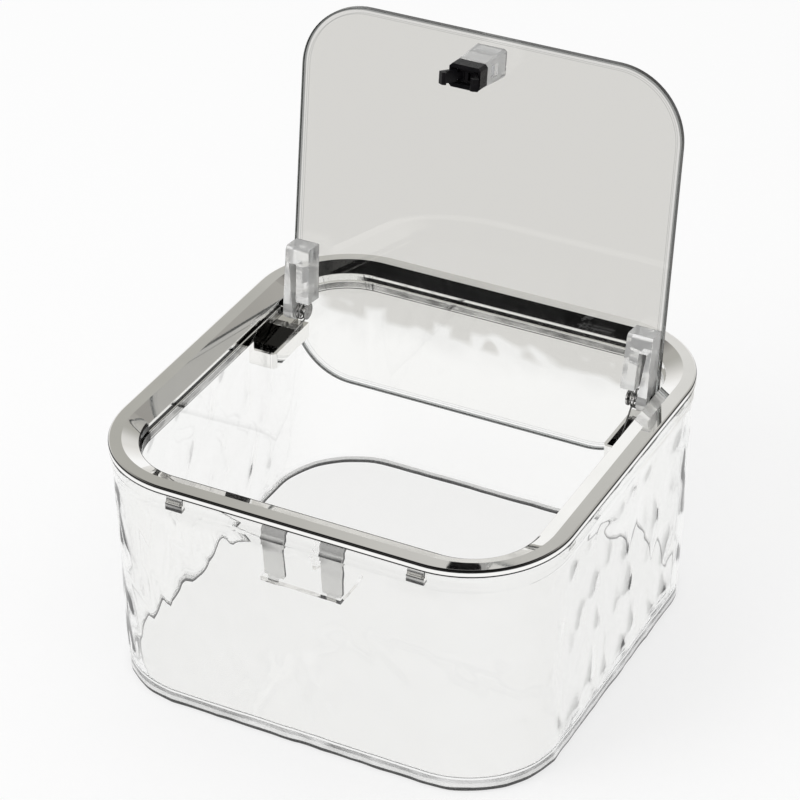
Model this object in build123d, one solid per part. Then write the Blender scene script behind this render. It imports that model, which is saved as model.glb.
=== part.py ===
from build123d import *
import math
import os

# A clear square storage box with a plated rim, a sprung flip lid and a push latch.
# Millimetres, +Z up, +X to the right of someone facing the box, the front at -Y.
# The origin is on the table under the middle of the box. The lid stands open.

# Overall size
box_width = 170.0
box_depth = 170.0
box_height = 93.0

# Plated rim frame
frame_corner_radius = 37.0
frame_edge_height = 2.65
frame_edge_round = 0.8
flat_width = 5.3
slope_width = 6.1
slope_drop = 2.7
slope_plate = 2.0
opening_corner_radius = 23.8
opening_edge_round = 0.3
skirt_wall = 1.6
skirt_drop = 8.8
ledge_drop = 5.6
ledge_width = 0.5

# Tub
tub_inset = 0.6
band_height = 6.75
band_step = 0.3
wall_draft = 1.2
tub_wall = 2.6
tub_floor = 3.0
tub_foot_round = 2.4
tub_inner_round = 3.0

# Snap tabs that hold the frame in the tub, two to a side; on the sides they line up with the hinge
tab_spacing = 90.0
tab_width = 6.4
tab_thickness = 1.3
tab_drop = 9.8
hook_height = 2.4
hook_wall_clearance = 0.35
bead_height = 1.2
bead_reach = 0.9
bead_width = 5.2
bead_clearance = 0.2

# Lid hinge
pivot_inset = 39.5
pivot_drop = 6.4
open_angle = 97.5
pin_radius = 1.46
pin_bore_clearance = 0.05
pin_seat_clearance = 0.02
pin_head_lap = 0.2
pin_head_thickness = 0.6
pin_end_gap = 0.3
boss_radius = 3.2
boss_length = 4.4
boss_end_wall = 0.6
thrust_radius = 2.6
arm_side_clearance = 0.3

# Lid
lid_thickness = 2.3
lid_recess = 0.2
lid_side_gap = 0.9
lid_front_gap = 0.9
lid_rear_gap = 1.6
lid_corner_radius = 25.4
lid_edge_round = 0.4
arm_width = 9.4
arm_length = 25.6
arm_drop = 4.1
arm_end_round = 1.5
arm_frame_gap = 1.6
foot_radius = 4.1
foot_flare = 1.0
coil_inset = 2.7

# Spring brackets under the frame's side bars, with the stop for the open lid
bracket_reach = 9.0
bracket_front_run = 24.1
bracket_rear_run = 1.7
bracket_drop = 12.4
bracket_height = 6.0
bracket_wall = 1.2
bracket_corner_round = 2.0
channel_end_run = 5.0
stop_pad_length = 1.6
stop_gap = 0.1

# Torsion springs round the hinge pins
spring_wire = 0.65
spring_radius = 3.3
spring_pitch = 1.08
spring_whole_turns = 2
spring_side_gap = 0.4
fixed_leg_rest_gap = 0.1
fixed_leg_end_gap = 1.4
fixed_leg_drift = 3.6
arm_leg_length = 17.5
arm_leg_drift = 1.3
leg_bend_length = 1.6
leg_slot_side = 0.35
leg_slot_flare = 1.1
leg_slot_floor = 0.1

# Latch socket under the lid
latch_inset = 8.9
socket_width = 8.8
socket_depth = 7.2
socket_wall = 0.8
socket_draft = 3.2
socket_length = 14.5
socket_corner_radius = 0.6
window_width = 4.6
window_height = 4.5
window_from_lid = 6.0

# Latch housing
housing_clearance = 0.1
housing_top_gap = 0.3
collar_width = 11.8
collar_depth = 8.4
collar_length = 5.6
collar_gap = 0.3
collar_chamfer = 1.0
collar_seat_clearance = 0.04
housing_insert = 2.2
housing_roof = 1.5
bore_width = 6.8
bore_depth = 4.6
mouth_width = 10.0
mouth_depth = 5.4
barb_reach = 0.5
barb_clearance = 0.3

# Latch slider, jaws, spring and cam wire
slider_clearance = 0.15
slider_inset = 1.6
slider_length = 8.8
slider_travel = 3.5
cheek_thickness = 0.7
pusher_width = 1.2
jaw_pivot_offset = 1.8
jaw_pivot_inset = 1.6
jaw_eye_radius = 1.05
jaw_slot_length = 3.2
jaw_root_length = 3.1
jaw_length = 9.5
jaw_thickness = 1.4
jaw_hook = 1.3
jaw_hook_length = 1.4
jaw_side_clearance = 0.15
jaw_tip_width = 4.4
jaw_splay = 32.0
jaw_pin_radius = 0.5
jaw_pin_clearance = 0.05
latch_spring_wire = 0.5
latch_spring_radius = 1.8
latch_spring_turns = 5
latch_spring_gap = 0.05
spring_stub_radius = 1.2
spring_stub_length = 1.6
cam_wire_radius = 0.25
cam_wire_offset = 0.7
cam_wire_length = 5.6
cam_follower_inset = 1.0
cam_track_depth = 0.6
cam_track_side = 0.25
cam_track_width = 2.4
cam_clearance = 0.05

# Striker on the frame's front skirt
post_width = 8.6
post_step_drop = 17.0
post_stem_width = 7.4
post_offset = 11.0
post_wall = 1.6
post_tenon_width = 4.0
striker_clearance = 0.3
striker_head_width = 3.5
striker_head_height = 1.6
striker_stem_width = 1.8
striker_depth = 4.8
striker_stem_height = 6.6
shelf_thickness = 1.6
shelf_margin = 1.4
shelf_slot_clearance = 0.05

# Sizes worked out from the ones above
half_width = box_width / 2
half_depth = box_depth / 2
rim_height = box_height - frame_edge_height
skirt_bottom_height = box_height - skirt_drop
ledge_height = box_height - ledge_drop
tab_bottom_height = box_height - tab_drop
opening_height = box_height - slope_drop
opening_inset = flat_width + slope_width
opening_width = box_width - 2 * opening_inset
opening_depth = box_depth - 2 * opening_inset
slope_angle = math.degrees(math.atan2(slope_width, slope_drop))
skirt_inset = opening_inset - skirt_wall
draft_slope = math.tan(math.radians(wall_draft))

pivot_y = half_depth - pivot_inset
pivot_height = box_height - pivot_drop
lid_top_height = box_height - lid_recess
lid_under_height = lid_top_height - lid_thickness
lid_front_y = -opening_depth / 2 + lid_front_gap
lid_rear_y = opening_depth / 2 - lid_rear_gap
lid_width = opening_width - 2 * lid_side_gap
arm_outer_x = opening_width / 2 - arm_frame_gap
arm_inner_x = arm_outer_x - arm_width

bracket_front_y = pivot_y - bracket_front_run
bracket_rear_y = pivot_y + bracket_rear_run
bracket_top_height = box_height - bracket_drop
channel_end_y = pivot_y - channel_end_run
bracket_inner_x = opening_width / 2 - bracket_reach
bracket_outer_x = half_width - skirt_inset
bracket_floor_height = bracket_top_height - bracket_height
channel_outer_x = bracket_outer_x - skirt_wall - ledge_width

foot_inner_x = arm_inner_x - foot_flare
coil_inner_x = foot_inner_x + coil_inset
pin_head_radius = spring_radius - spring_wire / 2 + pin_head_lap
leg_reach = bracket_front_run - bracket_wall - fixed_leg_end_gap
leg_drop = pivot_height - bracket_floor_height - bracket_wall - spring_wire / 2 - fixed_leg_rest_gap
leg_bearing = math.degrees(math.atan2(leg_reach, leg_drop))
fixed_leg_slope = math.degrees(math.acos(spring_radius / math.hypot(leg_reach, leg_drop))) - leg_bearing
spring_turns = spring_whole_turns + (180 - open_angle - fixed_leg_slope) / 360
coil_start_x = coil_inner_x + spring_side_gap + spring_wire / 2
coil_end_x = coil_start_x + spring_turns * spring_pitch
arm_notch_x = coil_end_x + spring_wire / 2 + spring_side_gap

latch_y = lid_front_y + latch_inset
socket_bottom_height = lid_under_height - socket_length
collar_top_height = socket_bottom_height - collar_gap
mouth_height = collar_top_height - collar_length
housing_bottom_height = collar_top_height - housing_insert
housing_top_height = lid_under_height - housing_top_gap
slider_face_height = mouth_height + slider_inset
slider_top_height = slider_face_height + slider_length
slider_width = bore_width - 2 * slider_clearance
slider_depth = bore_depth - 2 * slider_clearance
jaw_pivot_height = slider_face_height + jaw_pivot_inset
bore_top_height = housing_top_height - housing_roof
striker_top_height = slider_face_height - striker_clearance
shelf_top_height = striker_top_height - striker_head_height - striker_stem_height
post_step_height = box_height - post_step_drop
cam_follower_height = slider_top_height - cam_follower_inset


def block(x0, x1, y0, y1, z0, z1):
    """A box given by its low and high corners."""
    size = (abs(x1 - x0), abs(y1 - y0), abs(z1 - z0))
    return Pos((x0 + x1) / 2, (y0 + y1) / 2, (z0 + z1) / 2) * Box(*size)


def slab(width, depth, radius, z0, z1):
    """A rounded rectangle extruded from z0 up to z1."""
    return extrude(Pos(0, 0, z0) * RectangleRounded(width, depth, radius), z1 - z0)


def flared(width, depth, radius, z0, z1, angle):
    """A rounded rectangle at z0 whose sides lean out by angle degrees up to z1."""
    outline = Pos(0, 0, z0) * RectangleRounded(width, depth, radius)
    return extrude(outline, z1 - z0, taper=-angle)


def rod_x(radius, x0, x1, y, z):
    """A round bar along X."""
    return Pos((x0 + x1) / 2, y, z) * Rot(0, 90, 0) * Cylinder(radius, abs(x1 - x0))


def rod_y(radius, x, y0, y1, z):
    """A round bar along Y."""
    return Pos(x, (y0 + y1) / 2, z) * Rot(90, 0, 0) * Cylinder(radius, abs(y1 - y0))


def mirrored(shape):
    """The same shape on the other side of the box."""
    return mirror(shape, Plane.YZ)


def opened(shape):
    """Swings a shape that is drawn with the lid shut to where it is with the lid open."""
    hinge = Axis((0, pivot_y, pivot_height), (1, 0, 0))
    return shape.rotate(hinge, -open_angle)


def side_places():
    """Where the snap tabs go: on each side's outer edge, with +X pointing out of the box."""
    sides = (
        (0, half_width, pivot_y),
        (90, half_depth, tab_spacing / 2),
        (180, half_width, pivot_y),
        (270, half_depth, tab_spacing / 2),
    )
    for turn, reach, along in sides:
        for end in (-along, along):
            yield Rot(0, 0, turn) * Pos(reach, end, 0)


def cavity_inset(z):
    """How far the tub's inner wall at height z is inside the frame's outer edge."""
    return tub_inset + tub_wall + (rim_height - z) * draft_slope


def biarc(start, start_dir, end, end_dir):
    """Two arcs that leave start along start_dir and reach end along end_dir."""
    across = end - start
    both = start_dir + end_dir
    turn = 2 * (1 - start_dir.dot(end_dir))
    lean = across.dot(both)
    reach = (math.sqrt(lean * lean + turn * across.dot(across)) - lean) / turn
    middle = (start + end + (start_dir - end_dir) * reach) * 0.5
    middle_dir = (end - start - both * reach).normalized()
    return [
        TangentArc(start, middle, tangent=start_dir),
        TangentArc(middle, end, tangent=middle_dir),
    ]


def helix_points(radius, pitch, turns, first_angle, steps_per_turn):
    """Places and directions along a helix round +X that starts at x = 0."""
    steps = math.ceil(turns * steps_per_turn)
    rise = pitch / (2 * math.pi)
    for i in range(steps + 1):
        angle = first_angle + 2 * math.pi * turns * i / steps
        place = Vector(rise * (angle - first_angle), radius * math.cos(angle), radius * math.sin(angle))
        direction = Vector(rise, -radius * math.sin(angle), radius * math.cos(angle)).normalized()
        yield place, direction


def coil_edges(radius, pitch, turns, first_angle, centre):
    """The arcs of a coil round +X, a biarc to each quarter turn, with its end places."""
    stations = [(centre + p, d) for p, d in helix_points(radius, pitch, turns, first_angle, 4)]
    edges = []
    for (start, start_dir), (end, end_dir) in zip(stations, stations[1:]):
        edges += biarc(start, start_dir, end, end_dir)
    return edges, stations[0], stations[-1]


def wire_tube(edges, diameter):
    """A round wire swept along tangent edges."""
    path = Wire(edges)
    section = Plane(path @ 0, z_dir=path % 0) * Circle(diameter / 2)
    return sweep(section, path=path)


def print_least_gap(name, radius, pitch, turns, wire):
    """Measures how near a coil's turns come to each other, on points of its centre line."""
    points = [p for p, _ in helix_points(radius, pitch, turns, 0, 48)]
    least = min(
        (points[j] - points[i]).length
        for i in range(len(points))
        for j in range(i + 36, len(points))
    )
    print(f"{name}: least gap between turns {least - wire:.2f} mm")


def tub():
    """The clear tub: a smooth band under the frame, drafted walls and a flat floor."""
    band_bottom = rim_height - band_height
    band_inset = tub_inset
    wall_inset = tub_inset + band_step
    foot_inset = wall_inset + band_bottom * draft_slope
    outer = flared(
        box_width - 2 * foot_inset,
        box_depth - 2 * foot_inset,
        frame_corner_radius - foot_inset,
        0,
        band_bottom,
        wall_draft,
    )
    outer = fillet(outer.edges().group_by(Axis.Z)[0], tub_foot_round)
    band = slab(
        box_width - 2 * band_inset,
        box_depth - 2 * band_inset,
        frame_corner_radius - band_inset,
        band_bottom,
        rim_height,
    )
    floor_inset = cavity_inset(tub_floor)
    cavity = flared(
        box_width - 2 * floor_inset,
        box_depth - 2 * floor_inset,
        frame_corner_radius - floor_inset,
        tub_floor,
        rim_height,
        wall_draft,
    )
    cavity = fillet(cavity.edges().group_by(Axis.Z)[0], tub_inner_round)
    shell = outer + band - cavity
    bead_bottom = tab_bottom_height + hook_height + bead_clearance
    wall_face = cavity_inset(bead_bottom)
    bead = block(
        -wall_face - bead_reach,
        -wall_face + tub_wall / 2,
        -bead_width / 2,
        bead_width / 2,
        bead_bottom,
        bead_bottom + bead_height,
    )
    for place in side_places():
        shell += place * bead
    return shell


def snap_tab():
    """A tab that hangs inside the tub wall and hooks under the wall's bead."""
    bead_bottom = tab_bottom_height + hook_height + bead_clearance
    face = -cavity_inset(bead_bottom) - bead_reach - bead_clearance
    hook_face = -cavity_inset(tab_bottom_height) - hook_wall_clearance
    half = tab_width / 2
    back = face - tab_thickness
    leaf = block(back, face, -half, half, tab_bottom_height, rim_height)
    hook_top = tab_bottom_height + hook_height
    hook = block(back, hook_face, -half, half, tab_bottom_height, hook_top)
    return leaf + hook


def frame_ring():
    """The rim: a flat top, a slope down to the opening, and a stepped skirt below it."""
    ring = slab(box_width, box_depth, frame_corner_radius, rim_height, box_height)
    ring = fillet(ring.edges().group_by(Axis.Z)[-1], frame_edge_round)
    skirt_width = opening_width + 2 * skirt_wall
    skirt_depth = opening_depth + 2 * skirt_wall
    skirt_radius = opening_corner_radius + skirt_wall
    under_height = opening_height - slope_plate + skirt_wall * slope_drop / slope_width
    ring += flared(skirt_width, skirt_depth, skirt_radius, under_height, rim_height, slope_angle)
    ring += slab(skirt_width, skirt_depth, skirt_radius, skirt_bottom_height, rim_height)
    ring -= slab(
        opening_width, opening_depth, opening_corner_radius, ledge_height, box_height
    )
    ring -= slab(
        opening_width - 2 * ledge_width,
        opening_depth - 2 * ledge_width,
        opening_corner_radius - ledge_width,
        skirt_bottom_height,
        ledge_height,
    )
    ring -= flared(
        opening_width, opening_depth, opening_corner_radius, opening_height, box_height, slope_angle
    )
    lip = [e for e in ring.edges() if abs(e.center().Z - opening_height) < 0.01]
    return fillet(lip, opening_edge_round)


def spring_bracket():
    """The right-hand bracket: an open channel for the spring's leg and a pad for the stop."""
    bottom = bracket_floor_height
    tray = block(
        bracket_inner_x, bracket_outer_x, bracket_front_y, bracket_rear_y, bottom, bracket_top_height
    )
    front_edge = tray.edges().filter_by(Axis.Z).sort_by(Axis.X)[:2].sort_by(Axis.Y)[0]
    tray = fillet(front_edge, bracket_corner_round)
    tray -= block(
        bracket_inner_x + bracket_wall,
        channel_outer_x,
        bracket_front_y + bracket_wall,
        channel_end_y,
        bottom + bracket_wall,
        bracket_top_height,
    )
    web = block(
        channel_outer_x,
        bracket_outer_x,
        bracket_front_y,
        bracket_rear_y,
        bracket_top_height - bracket_wall,
        skirt_bottom_height + bracket_wall,
    )
    pad_top = pivot_height - foot_radius - stop_gap
    pad = block(
        arm_notch_x,
        channel_outer_x + bracket_wall / 2,
        bracket_rear_y - stop_pad_length,
        bracket_rear_y,
        bracket_top_height - bracket_wall,
        pad_top,
    )
    return tray + web + pad


def hinge_boss():
    """The right-hand boss that carries the pin, with its thrust face towards the arm."""
    face_x = arm_outer_x + arm_side_clearance
    skirt_x = bracket_outer_x - skirt_wall / 2
    end_x = bracket_outer_x + boss_length
    boss = rod_x(boss_radius, skirt_x, end_x, pivot_y, pivot_height)
    return boss + rod_x(thrust_radius, face_x, skirt_x, pivot_y, pivot_height)


def frame():
    """The plated frame with its tabs, spring brackets, pin bosses and striker posts."""
    body = frame_ring()
    right = spring_bracket() + hinge_boss()
    bore = rod_x(
        pin_radius + pin_bore_clearance,
        bracket_inner_x,
        bracket_outer_x + boss_length - boss_end_wall,
        pivot_y,
        pivot_height,
    )
    body = body + right + mirrored(right) - bore - mirrored(bore)
    for place in side_places():
        body += place * snap_tab()
    post_y = -half_depth + skirt_inset
    steps = (
        (post_width, post_step_height, skirt_bottom_height + ledge_width),
        (post_stem_width, shelf_top_height, post_step_height),
        (post_tenon_width, shelf_top_height - shelf_thickness, shelf_top_height),
    )
    for side in (-1, 1):
        for width, low, high in steps:
            left = side * post_offset - width / 2
            body += block(left, left + width, post_y, post_y + post_wall, low, high)
    return body


def lid_arm():
    """The right-hand hinge arm in the shut pose, cut back beside its foot to clear the coil."""
    front_y = pivot_y - arm_length
    low_z = pivot_height - arm_drop
    corners = [
        (foot_inner_x, pivot_y),
        (arm_outer_x, pivot_y),
        (arm_outer_x, front_y),
        (arm_inner_x, front_y),
    ]
    plan = Pos(0, 0, low_z) * make_face(Polyline(*corners, close=True))
    bar = extrude(plan, lid_under_height - low_z)
    end_edge = [e for e in bar.edges() if e.center().Y < front_y + 0.1 and e.center().Z < low_z + 0.1]
    bar = fillet(end_edge, arm_end_round)
    foot = rod_x(foot_radius, foot_inner_x, arm_outer_x, pivot_y, pivot_height)
    foot -= block(
        foot_inner_x - 1,
        arm_outer_x + 1,
        pivot_y - 2 * foot_radius,
        pivot_y,
        pivot_height - 2 * foot_radius,
        low_z,
    )
    heel = block(
        foot_inner_x,
        arm_outer_x,
        pivot_y,
        pivot_y + foot_radius + 1,
        pivot_height,
        lid_under_height,
    )
    below_foot = block(
        foot_inner_x - 1,
        arm_outer_x + 1,
        pivot_y - box_depth,
        pivot_y + box_depth,
        pivot_height - box_height,
        pivot_height - foot_radius,
    )
    hinge = Axis((0, pivot_y, pivot_height), (1, 0, 0))
    heel -= below_foot.rotate(hinge, open_angle)
    coil_room = block(
        foot_inner_x - 1,
        arm_notch_x,
        pivot_y - spring_radius - spring_wire - spring_side_gap,
        pivot_y + 2 * foot_radius,
        pivot_height - 2 * foot_radius,
        lid_under_height,
    )
    return bar + foot + heel - coil_room - leg_slot()


def leg_slot():
    """The wedge cut from below into the arm, where the spring's upper leg lies."""
    side = spring_wire / 2 + leg_slot_side
    far_y = pivot_y - arm_leg_length - leg_bend_length
    far_x = coil_end_x + arm_leg_drift
    low_z = pivot_height - arm_drop
    floor = pivot_height + spring_radius + spring_wire / 2 + leg_slot_floor
    corners = [
        (coil_end_x - side, pivot_y),
        (coil_end_x + side, pivot_y),
        (far_x + side + leg_slot_flare, far_y),
        (far_x - side - leg_slot_flare / 2, far_y),
    ]
    wedge = Pos(0, 0, low_z) * make_face(Polyline(*corners, close=True))
    return extrude(wedge, floor - low_z)


def latch_socket():
    """The tapered tube under the lid that holds the latch, with its two snap windows."""
    tube = flared(
        socket_width + 2 * socket_wall,
        socket_depth + 2 * socket_wall,
        socket_corner_radius,
        socket_bottom_height,
        lid_under_height,
        socket_draft,
    )
    tube -= block(
        -socket_width / 2,
        socket_width / 2,
        -socket_depth / 2,
        socket_depth / 2,
        socket_bottom_height,
        lid_under_height,
    )
    window_top = lid_under_height - window_from_lid
    tube -= block(
        -socket_width,
        socket_width,
        -window_width / 2,
        window_width / 2,
        window_top - window_height,
        window_top,
    )
    return Pos(0, latch_y, 0) * tube


def lid_shut():
    """The clear lid in the shut pose: plate, two hinge arms and the latch socket."""
    middle_y = (lid_front_y + lid_rear_y) / 2
    plate = Pos(0, middle_y, 0) * slab(
        lid_width, lid_rear_y - lid_front_y, lid_corner_radius, lid_under_height, lid_top_height
    )
    plate = fillet(plate.edges().group_by(Axis.Z)[-1], lid_edge_round)
    arm = lid_arm()
    body = plate + arm + mirrored(arm) + latch_socket()
    hole = rod_x(
        pin_radius + pin_seat_clearance, 0, arm_outer_x + 1, pivot_y, pivot_height
    )
    return body - hole - mirrored(hole)


def hinge_pin():
    """The right-hand steel pin: its head beside the coil, its end in the boss."""
    head_x = coil_inner_x
    end_x = bracket_outer_x + boss_length - boss_end_wall - pin_end_gap
    shank = rod_x(pin_radius, head_x, end_x, pivot_y, pivot_height)
    head = rod_x(pin_head_radius, head_x - pin_head_thickness, head_x, pivot_y, pivot_height)
    return head + shank


def torsion_spring():
    """The right-hand spring in the open pose: lower leg, coil, and leg up the arm."""
    slope = math.radians(fixed_leg_slope)
    lean = math.radians(open_angle - 90)
    centre = Vector(coil_start_x, pivot_y, pivot_height)
    edges, (first, first_dir), (last, last_dir) = coil_edges(
        spring_radius, spring_pitch, spring_turns, slope - math.pi / 2, centre
    )
    run = (leg_reach + spring_radius * math.sin(slope)) / math.cos(slope)
    drift = math.atan2(fixed_leg_drift, run)
    lower_length = math.hypot(run, fixed_leg_drift)
    lower_dir = Vector(
        -math.sin(drift), math.cos(drift) * math.cos(slope), math.cos(drift) * math.sin(slope)
    )
    lower_bend = first - (lower_dir + first_dir) * (leg_bend_length / 2)
    lower_end = lower_bend - lower_dir * (lower_length - leg_bend_length)
    rise = math.atan2(arm_leg_drift, arm_leg_length)
    upper_dir = Vector(
        math.sin(rise), math.cos(rise) * math.sin(lean), math.cos(rise) * math.cos(lean)
    )
    upper_bend = last + (upper_dir + last_dir) * (leg_bend_length / 2)
    upper_end = upper_bend + upper_dir * (arm_leg_length - leg_bend_length)
    path = [Line(lower_end, lower_bend)]
    path += biarc(lower_bend, lower_dir, first, first_dir)
    path += edges
    path += biarc(last, last_dir, upper_bend, upper_dir)
    path += [Line(upper_bend, upper_end)]
    return wire_tube(path, spring_wire)


def latch_housing():
    """The latch body in its socket, with the bore that the slider runs in."""
    half_x = socket_width / 2 - housing_clearance
    half_y = socket_depth / 2 - housing_clearance
    body = block(
        -half_x,
        half_x,
        latch_y - half_y,
        latch_y + half_y,
        housing_bottom_height,
        housing_top_height,
    )
    for side in (-1, 1):
        body += snap_barb(side, half_x)
    body -= block(
        -bore_width / 2,
        bore_width / 2,
        latch_y - bore_depth / 2,
        latch_y + bore_depth / 2,
        housing_bottom_height,
        bore_top_height,
    )
    stub_bottom = bore_top_height - spring_stub_length
    body += Pos(0, latch_y, (stub_bottom + housing_top_height) / 2) * Cylinder(
        spring_stub_radius, housing_top_height - stub_bottom
    )
    return body - cam_slot(half_y)


def latch_collar():
    """The black cap on the housing's end, whose wide mouth shuts the jaws."""
    seat_x = socket_width / 2 - housing_clearance + collar_seat_clearance
    seat_y = socket_depth / 2 - housing_clearance + collar_seat_clearance
    collar = block(
        -collar_width / 2,
        collar_width / 2,
        latch_y - collar_depth / 2,
        latch_y + collar_depth / 2,
        mouth_height,
        collar_top_height,
    )
    collar = chamfer(collar.edges().filter_by(Axis.Z), collar_chamfer)
    collar -= block(
        -seat_x,
        seat_x,
        latch_y - seat_y,
        latch_y + seat_y,
        housing_bottom_height - collar_seat_clearance,
        collar_top_height,
    )
    return collar - block(
        -mouth_width / 2,
        mouth_width / 2,
        latch_y - mouth_depth / 2,
        latch_y + mouth_depth / 2,
        mouth_height,
        housing_bottom_height - collar_seat_clearance,
    )


def snap_barb(side, half_x):
    """The wedge on the housing's side that springs into the socket's window."""
    top = lid_under_height - window_from_lid - barb_clearance
    bottom = top - window_height + 2 * barb_clearance
    outline = [(half_x, top), (half_x + barb_reach, bottom), (half_x, bottom)]
    face = make_face(Plane.XZ * Polyline(*[(side * x, z) for x, z in outline], close=True))
    width = window_width - 2 * barb_clearance
    wedge = extrude(face, width / 2, both=True)
    return Pos(0, latch_y, 0) * wedge


def cam_slot(half_y):
    """The slot in the housing's rear wall for the cam wire, open through to the bore."""
    side = cam_wire_radius + cam_clearance
    x = -cam_wire_offset
    back_y = latch_y + half_y
    groove_y = back_y - 2 * (cam_wire_radius + cam_clearance)
    top = cam_follower_height + cam_wire_length
    groove = block(
        x - side, x + side, groove_y, back_y, cam_follower_height - side, top + side
    )
    hole = block(
        x - side,
        x + side,
        latch_y + bore_depth / 2 - 1,
        back_y,
        cam_follower_height - side,
        cam_follower_height + side,
    )
    return groove + hole


def cam_wire():
    """The bent wire whose lower end rides in the slider's cam track."""
    x = -cam_wire_offset
    half_y = socket_depth / 2 - housing_clearance
    run_y = latch_y + half_y - cam_wire_radius - cam_clearance
    end_y = latch_y + slider_depth / 2 - cam_track_depth + cam_clearance
    bend = 2 * cam_wire_radius
    top = cam_follower_height + cam_wire_length
    path = FilletPolyline(
        (x, end_y, cam_follower_height), (x, run_y, cam_follower_height), (x, run_y, top), radius=bend
    )
    return wire_tube(path.edges(), 2 * cam_wire_radius)


def latch_slider():
    """The pusher inside the housing: a block, two cheeks for the jaws and the cam track."""
    half_x = slider_width / 2
    half_y = slider_depth / 2
    slot_top = slider_face_height + jaw_slot_length
    body = block(
        -half_x, half_x, latch_y - half_y, latch_y + half_y, slider_face_height, slider_top_height
    )
    for side in (-1, 1):
        body -= block(
            side * pusher_width / 2,
            side * half_x,
            latch_y - half_y + cheek_thickness,
            latch_y + half_y - cheek_thickness,
            slider_face_height,
            slot_top,
        )
        body -= rod_y(
            jaw_pin_radius + pin_seat_clearance,
            side * jaw_pivot_offset,
            latch_y - half_y,
            latch_y + half_y,
            jaw_pivot_height,
        )
    stub_top = slider_top_height + spring_stub_length
    body += Pos(0, latch_y, (slider_top_height + stub_top) / 2) * Cylinder(
        spring_stub_radius, spring_stub_length
    )
    track_top = cam_follower_height + cam_wire_radius + cam_track_side
    track_bottom = cam_follower_height - slider_travel - cam_wire_radius - cam_track_side
    face_y = latch_y + half_y
    track = block(
        -cam_track_width / 2,
        cam_track_width / 2,
        face_y - cam_track_depth,
        face_y,
        track_bottom,
        track_top,
    )
    lane = cam_wire_offset - cam_wire_radius - cam_clearance
    tip = (track_top + track_bottom) / 2
    heart = [
        (-lane, tip),
        (cam_track_width / 6, tip + slider_travel / 4),
        (cam_track_width / 4, tip),
        (cam_track_width / 6, tip - slider_travel / 4),
    ]
    island = extrude(make_face(Plane.XZ * Polyline(*heart, close=True)), -cam_track_depth)
    return body - track + Pos(0, face_y - cam_track_depth, 0) * island


def latch_jaw():
    """The right-hand jaw, splayed open: an eye on its pin, a blade and a hook at the tip."""
    root_width = slider_depth - 2 * cheek_thickness - 2 * jaw_side_clearance
    half = jaw_thickness / 2
    eye = rod_y(jaw_eye_radius, 0, -root_width / 2, root_width / 2, 0)
    root = block(-half, half, -root_width / 2, root_width / 2, -jaw_root_length, 0)
    blade = block(
        -half, half, -jaw_tip_width / 2, jaw_tip_width / 2, -jaw_length, -jaw_root_length
    )
    hook = block(
        -half - jaw_hook,
        half,
        -jaw_tip_width / 2,
        jaw_tip_width / 2,
        -jaw_length,
        -jaw_length + jaw_hook_length,
    )
    hook = chamfer(hook.edges().filter_by(Axis.Y).sort_by(Axis.Z)[:2].sort_by(Axis.X)[0], 0.8)
    shape = eye + root + blade + hook
    shape -= rod_y(jaw_pin_radius + jaw_pin_clearance, 0, -root_width, root_width, 0)
    return Pos(jaw_pivot_offset, latch_y, jaw_pivot_height) * Rot(0, -jaw_splay, 0) * shape


def jaw_pins():
    """The two pins that the jaws turn on, held in the slider's cheeks."""
    half_y = slider_depth / 2
    return [
        rod_y(
            jaw_pin_radius,
            side * jaw_pivot_offset,
            latch_y - half_y,
            latch_y + half_y,
            jaw_pivot_height,
        )
        for side in (-1, 1)
    ]


def latch_spring():
    """The coil between the housing's roof and the slider, with the latch pushed out."""
    wire = latch_spring_wire
    low = slider_top_height + latch_spring_gap + wire / 2
    high = bore_top_height - latch_spring_gap - wire / 2
    pitch = (high - low) / latch_spring_turns
    edges, _, _ = coil_edges(latch_spring_radius, pitch, latch_spring_turns, 0, Vector(0, 0, 0))
    coil = wire_tube(edges, wire)
    print_least_gap("latch_spring", latch_spring_radius, pitch, latch_spring_turns, wire)
    return Pos(0, latch_y, low) * Rot(0, -90, 0) * coil


def latch_striker():
    """The shelf on the frame's posts with the tee that the jaws close on."""
    post_y = -half_depth + skirt_inset
    front_y = post_y - shelf_margin
    rear_y = latch_y + striker_depth / 2 + shelf_margin
    half_x = post_offset + post_width / 2
    shelf_bottom = shelf_top_height - shelf_thickness
    shelf = block(-half_x, half_x, front_y, rear_y, shelf_bottom, shelf_top_height)
    rear_corners = shelf.edges().filter_by(Axis.Z).sort_by(Axis.Y)[-2:]
    shelf = fillet(rear_corners, shelf_margin)
    slot_x = post_tenon_width / 2 + shelf_slot_clearance
    for side in (-1, 1):
        middle = side * post_offset
        shelf -= block(
            middle - slot_x,
            middle + slot_x,
            post_y - shelf_slot_clearance,
            post_y + post_wall + shelf_slot_clearance,
            shelf_bottom,
            shelf_top_height,
        )
    low_y = latch_y - striker_depth / 2
    high_y = latch_y + striker_depth / 2
    head_bottom = striker_top_height - striker_head_height
    stem = block(
        -striker_stem_width / 2, striker_stem_width / 2, low_y, high_y, shelf_bottom, head_bottom
    )
    head = block(
        -striker_head_width / 2, striker_head_width / 2, low_y, high_y, head_bottom, striker_top_height
    )
    top_edges = head.edges().filter_by(Axis.Y).group_by(Axis.Z)[-1]
    head = chamfer(top_edges, striker_head_height / 3)
    return shelf + stem + head


def write(name, shape):
    """Saves one piece, or a group of like pieces, under its node's name."""
    solids = shape if isinstance(shape, list) else [shape]
    parts = [solid for piece in solids for solid in piece.solids()]
    body = parts[0] if len(parts) == 1 else Compound(children=parts)
    export_step(body, f"parts/{name}.step")


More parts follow.
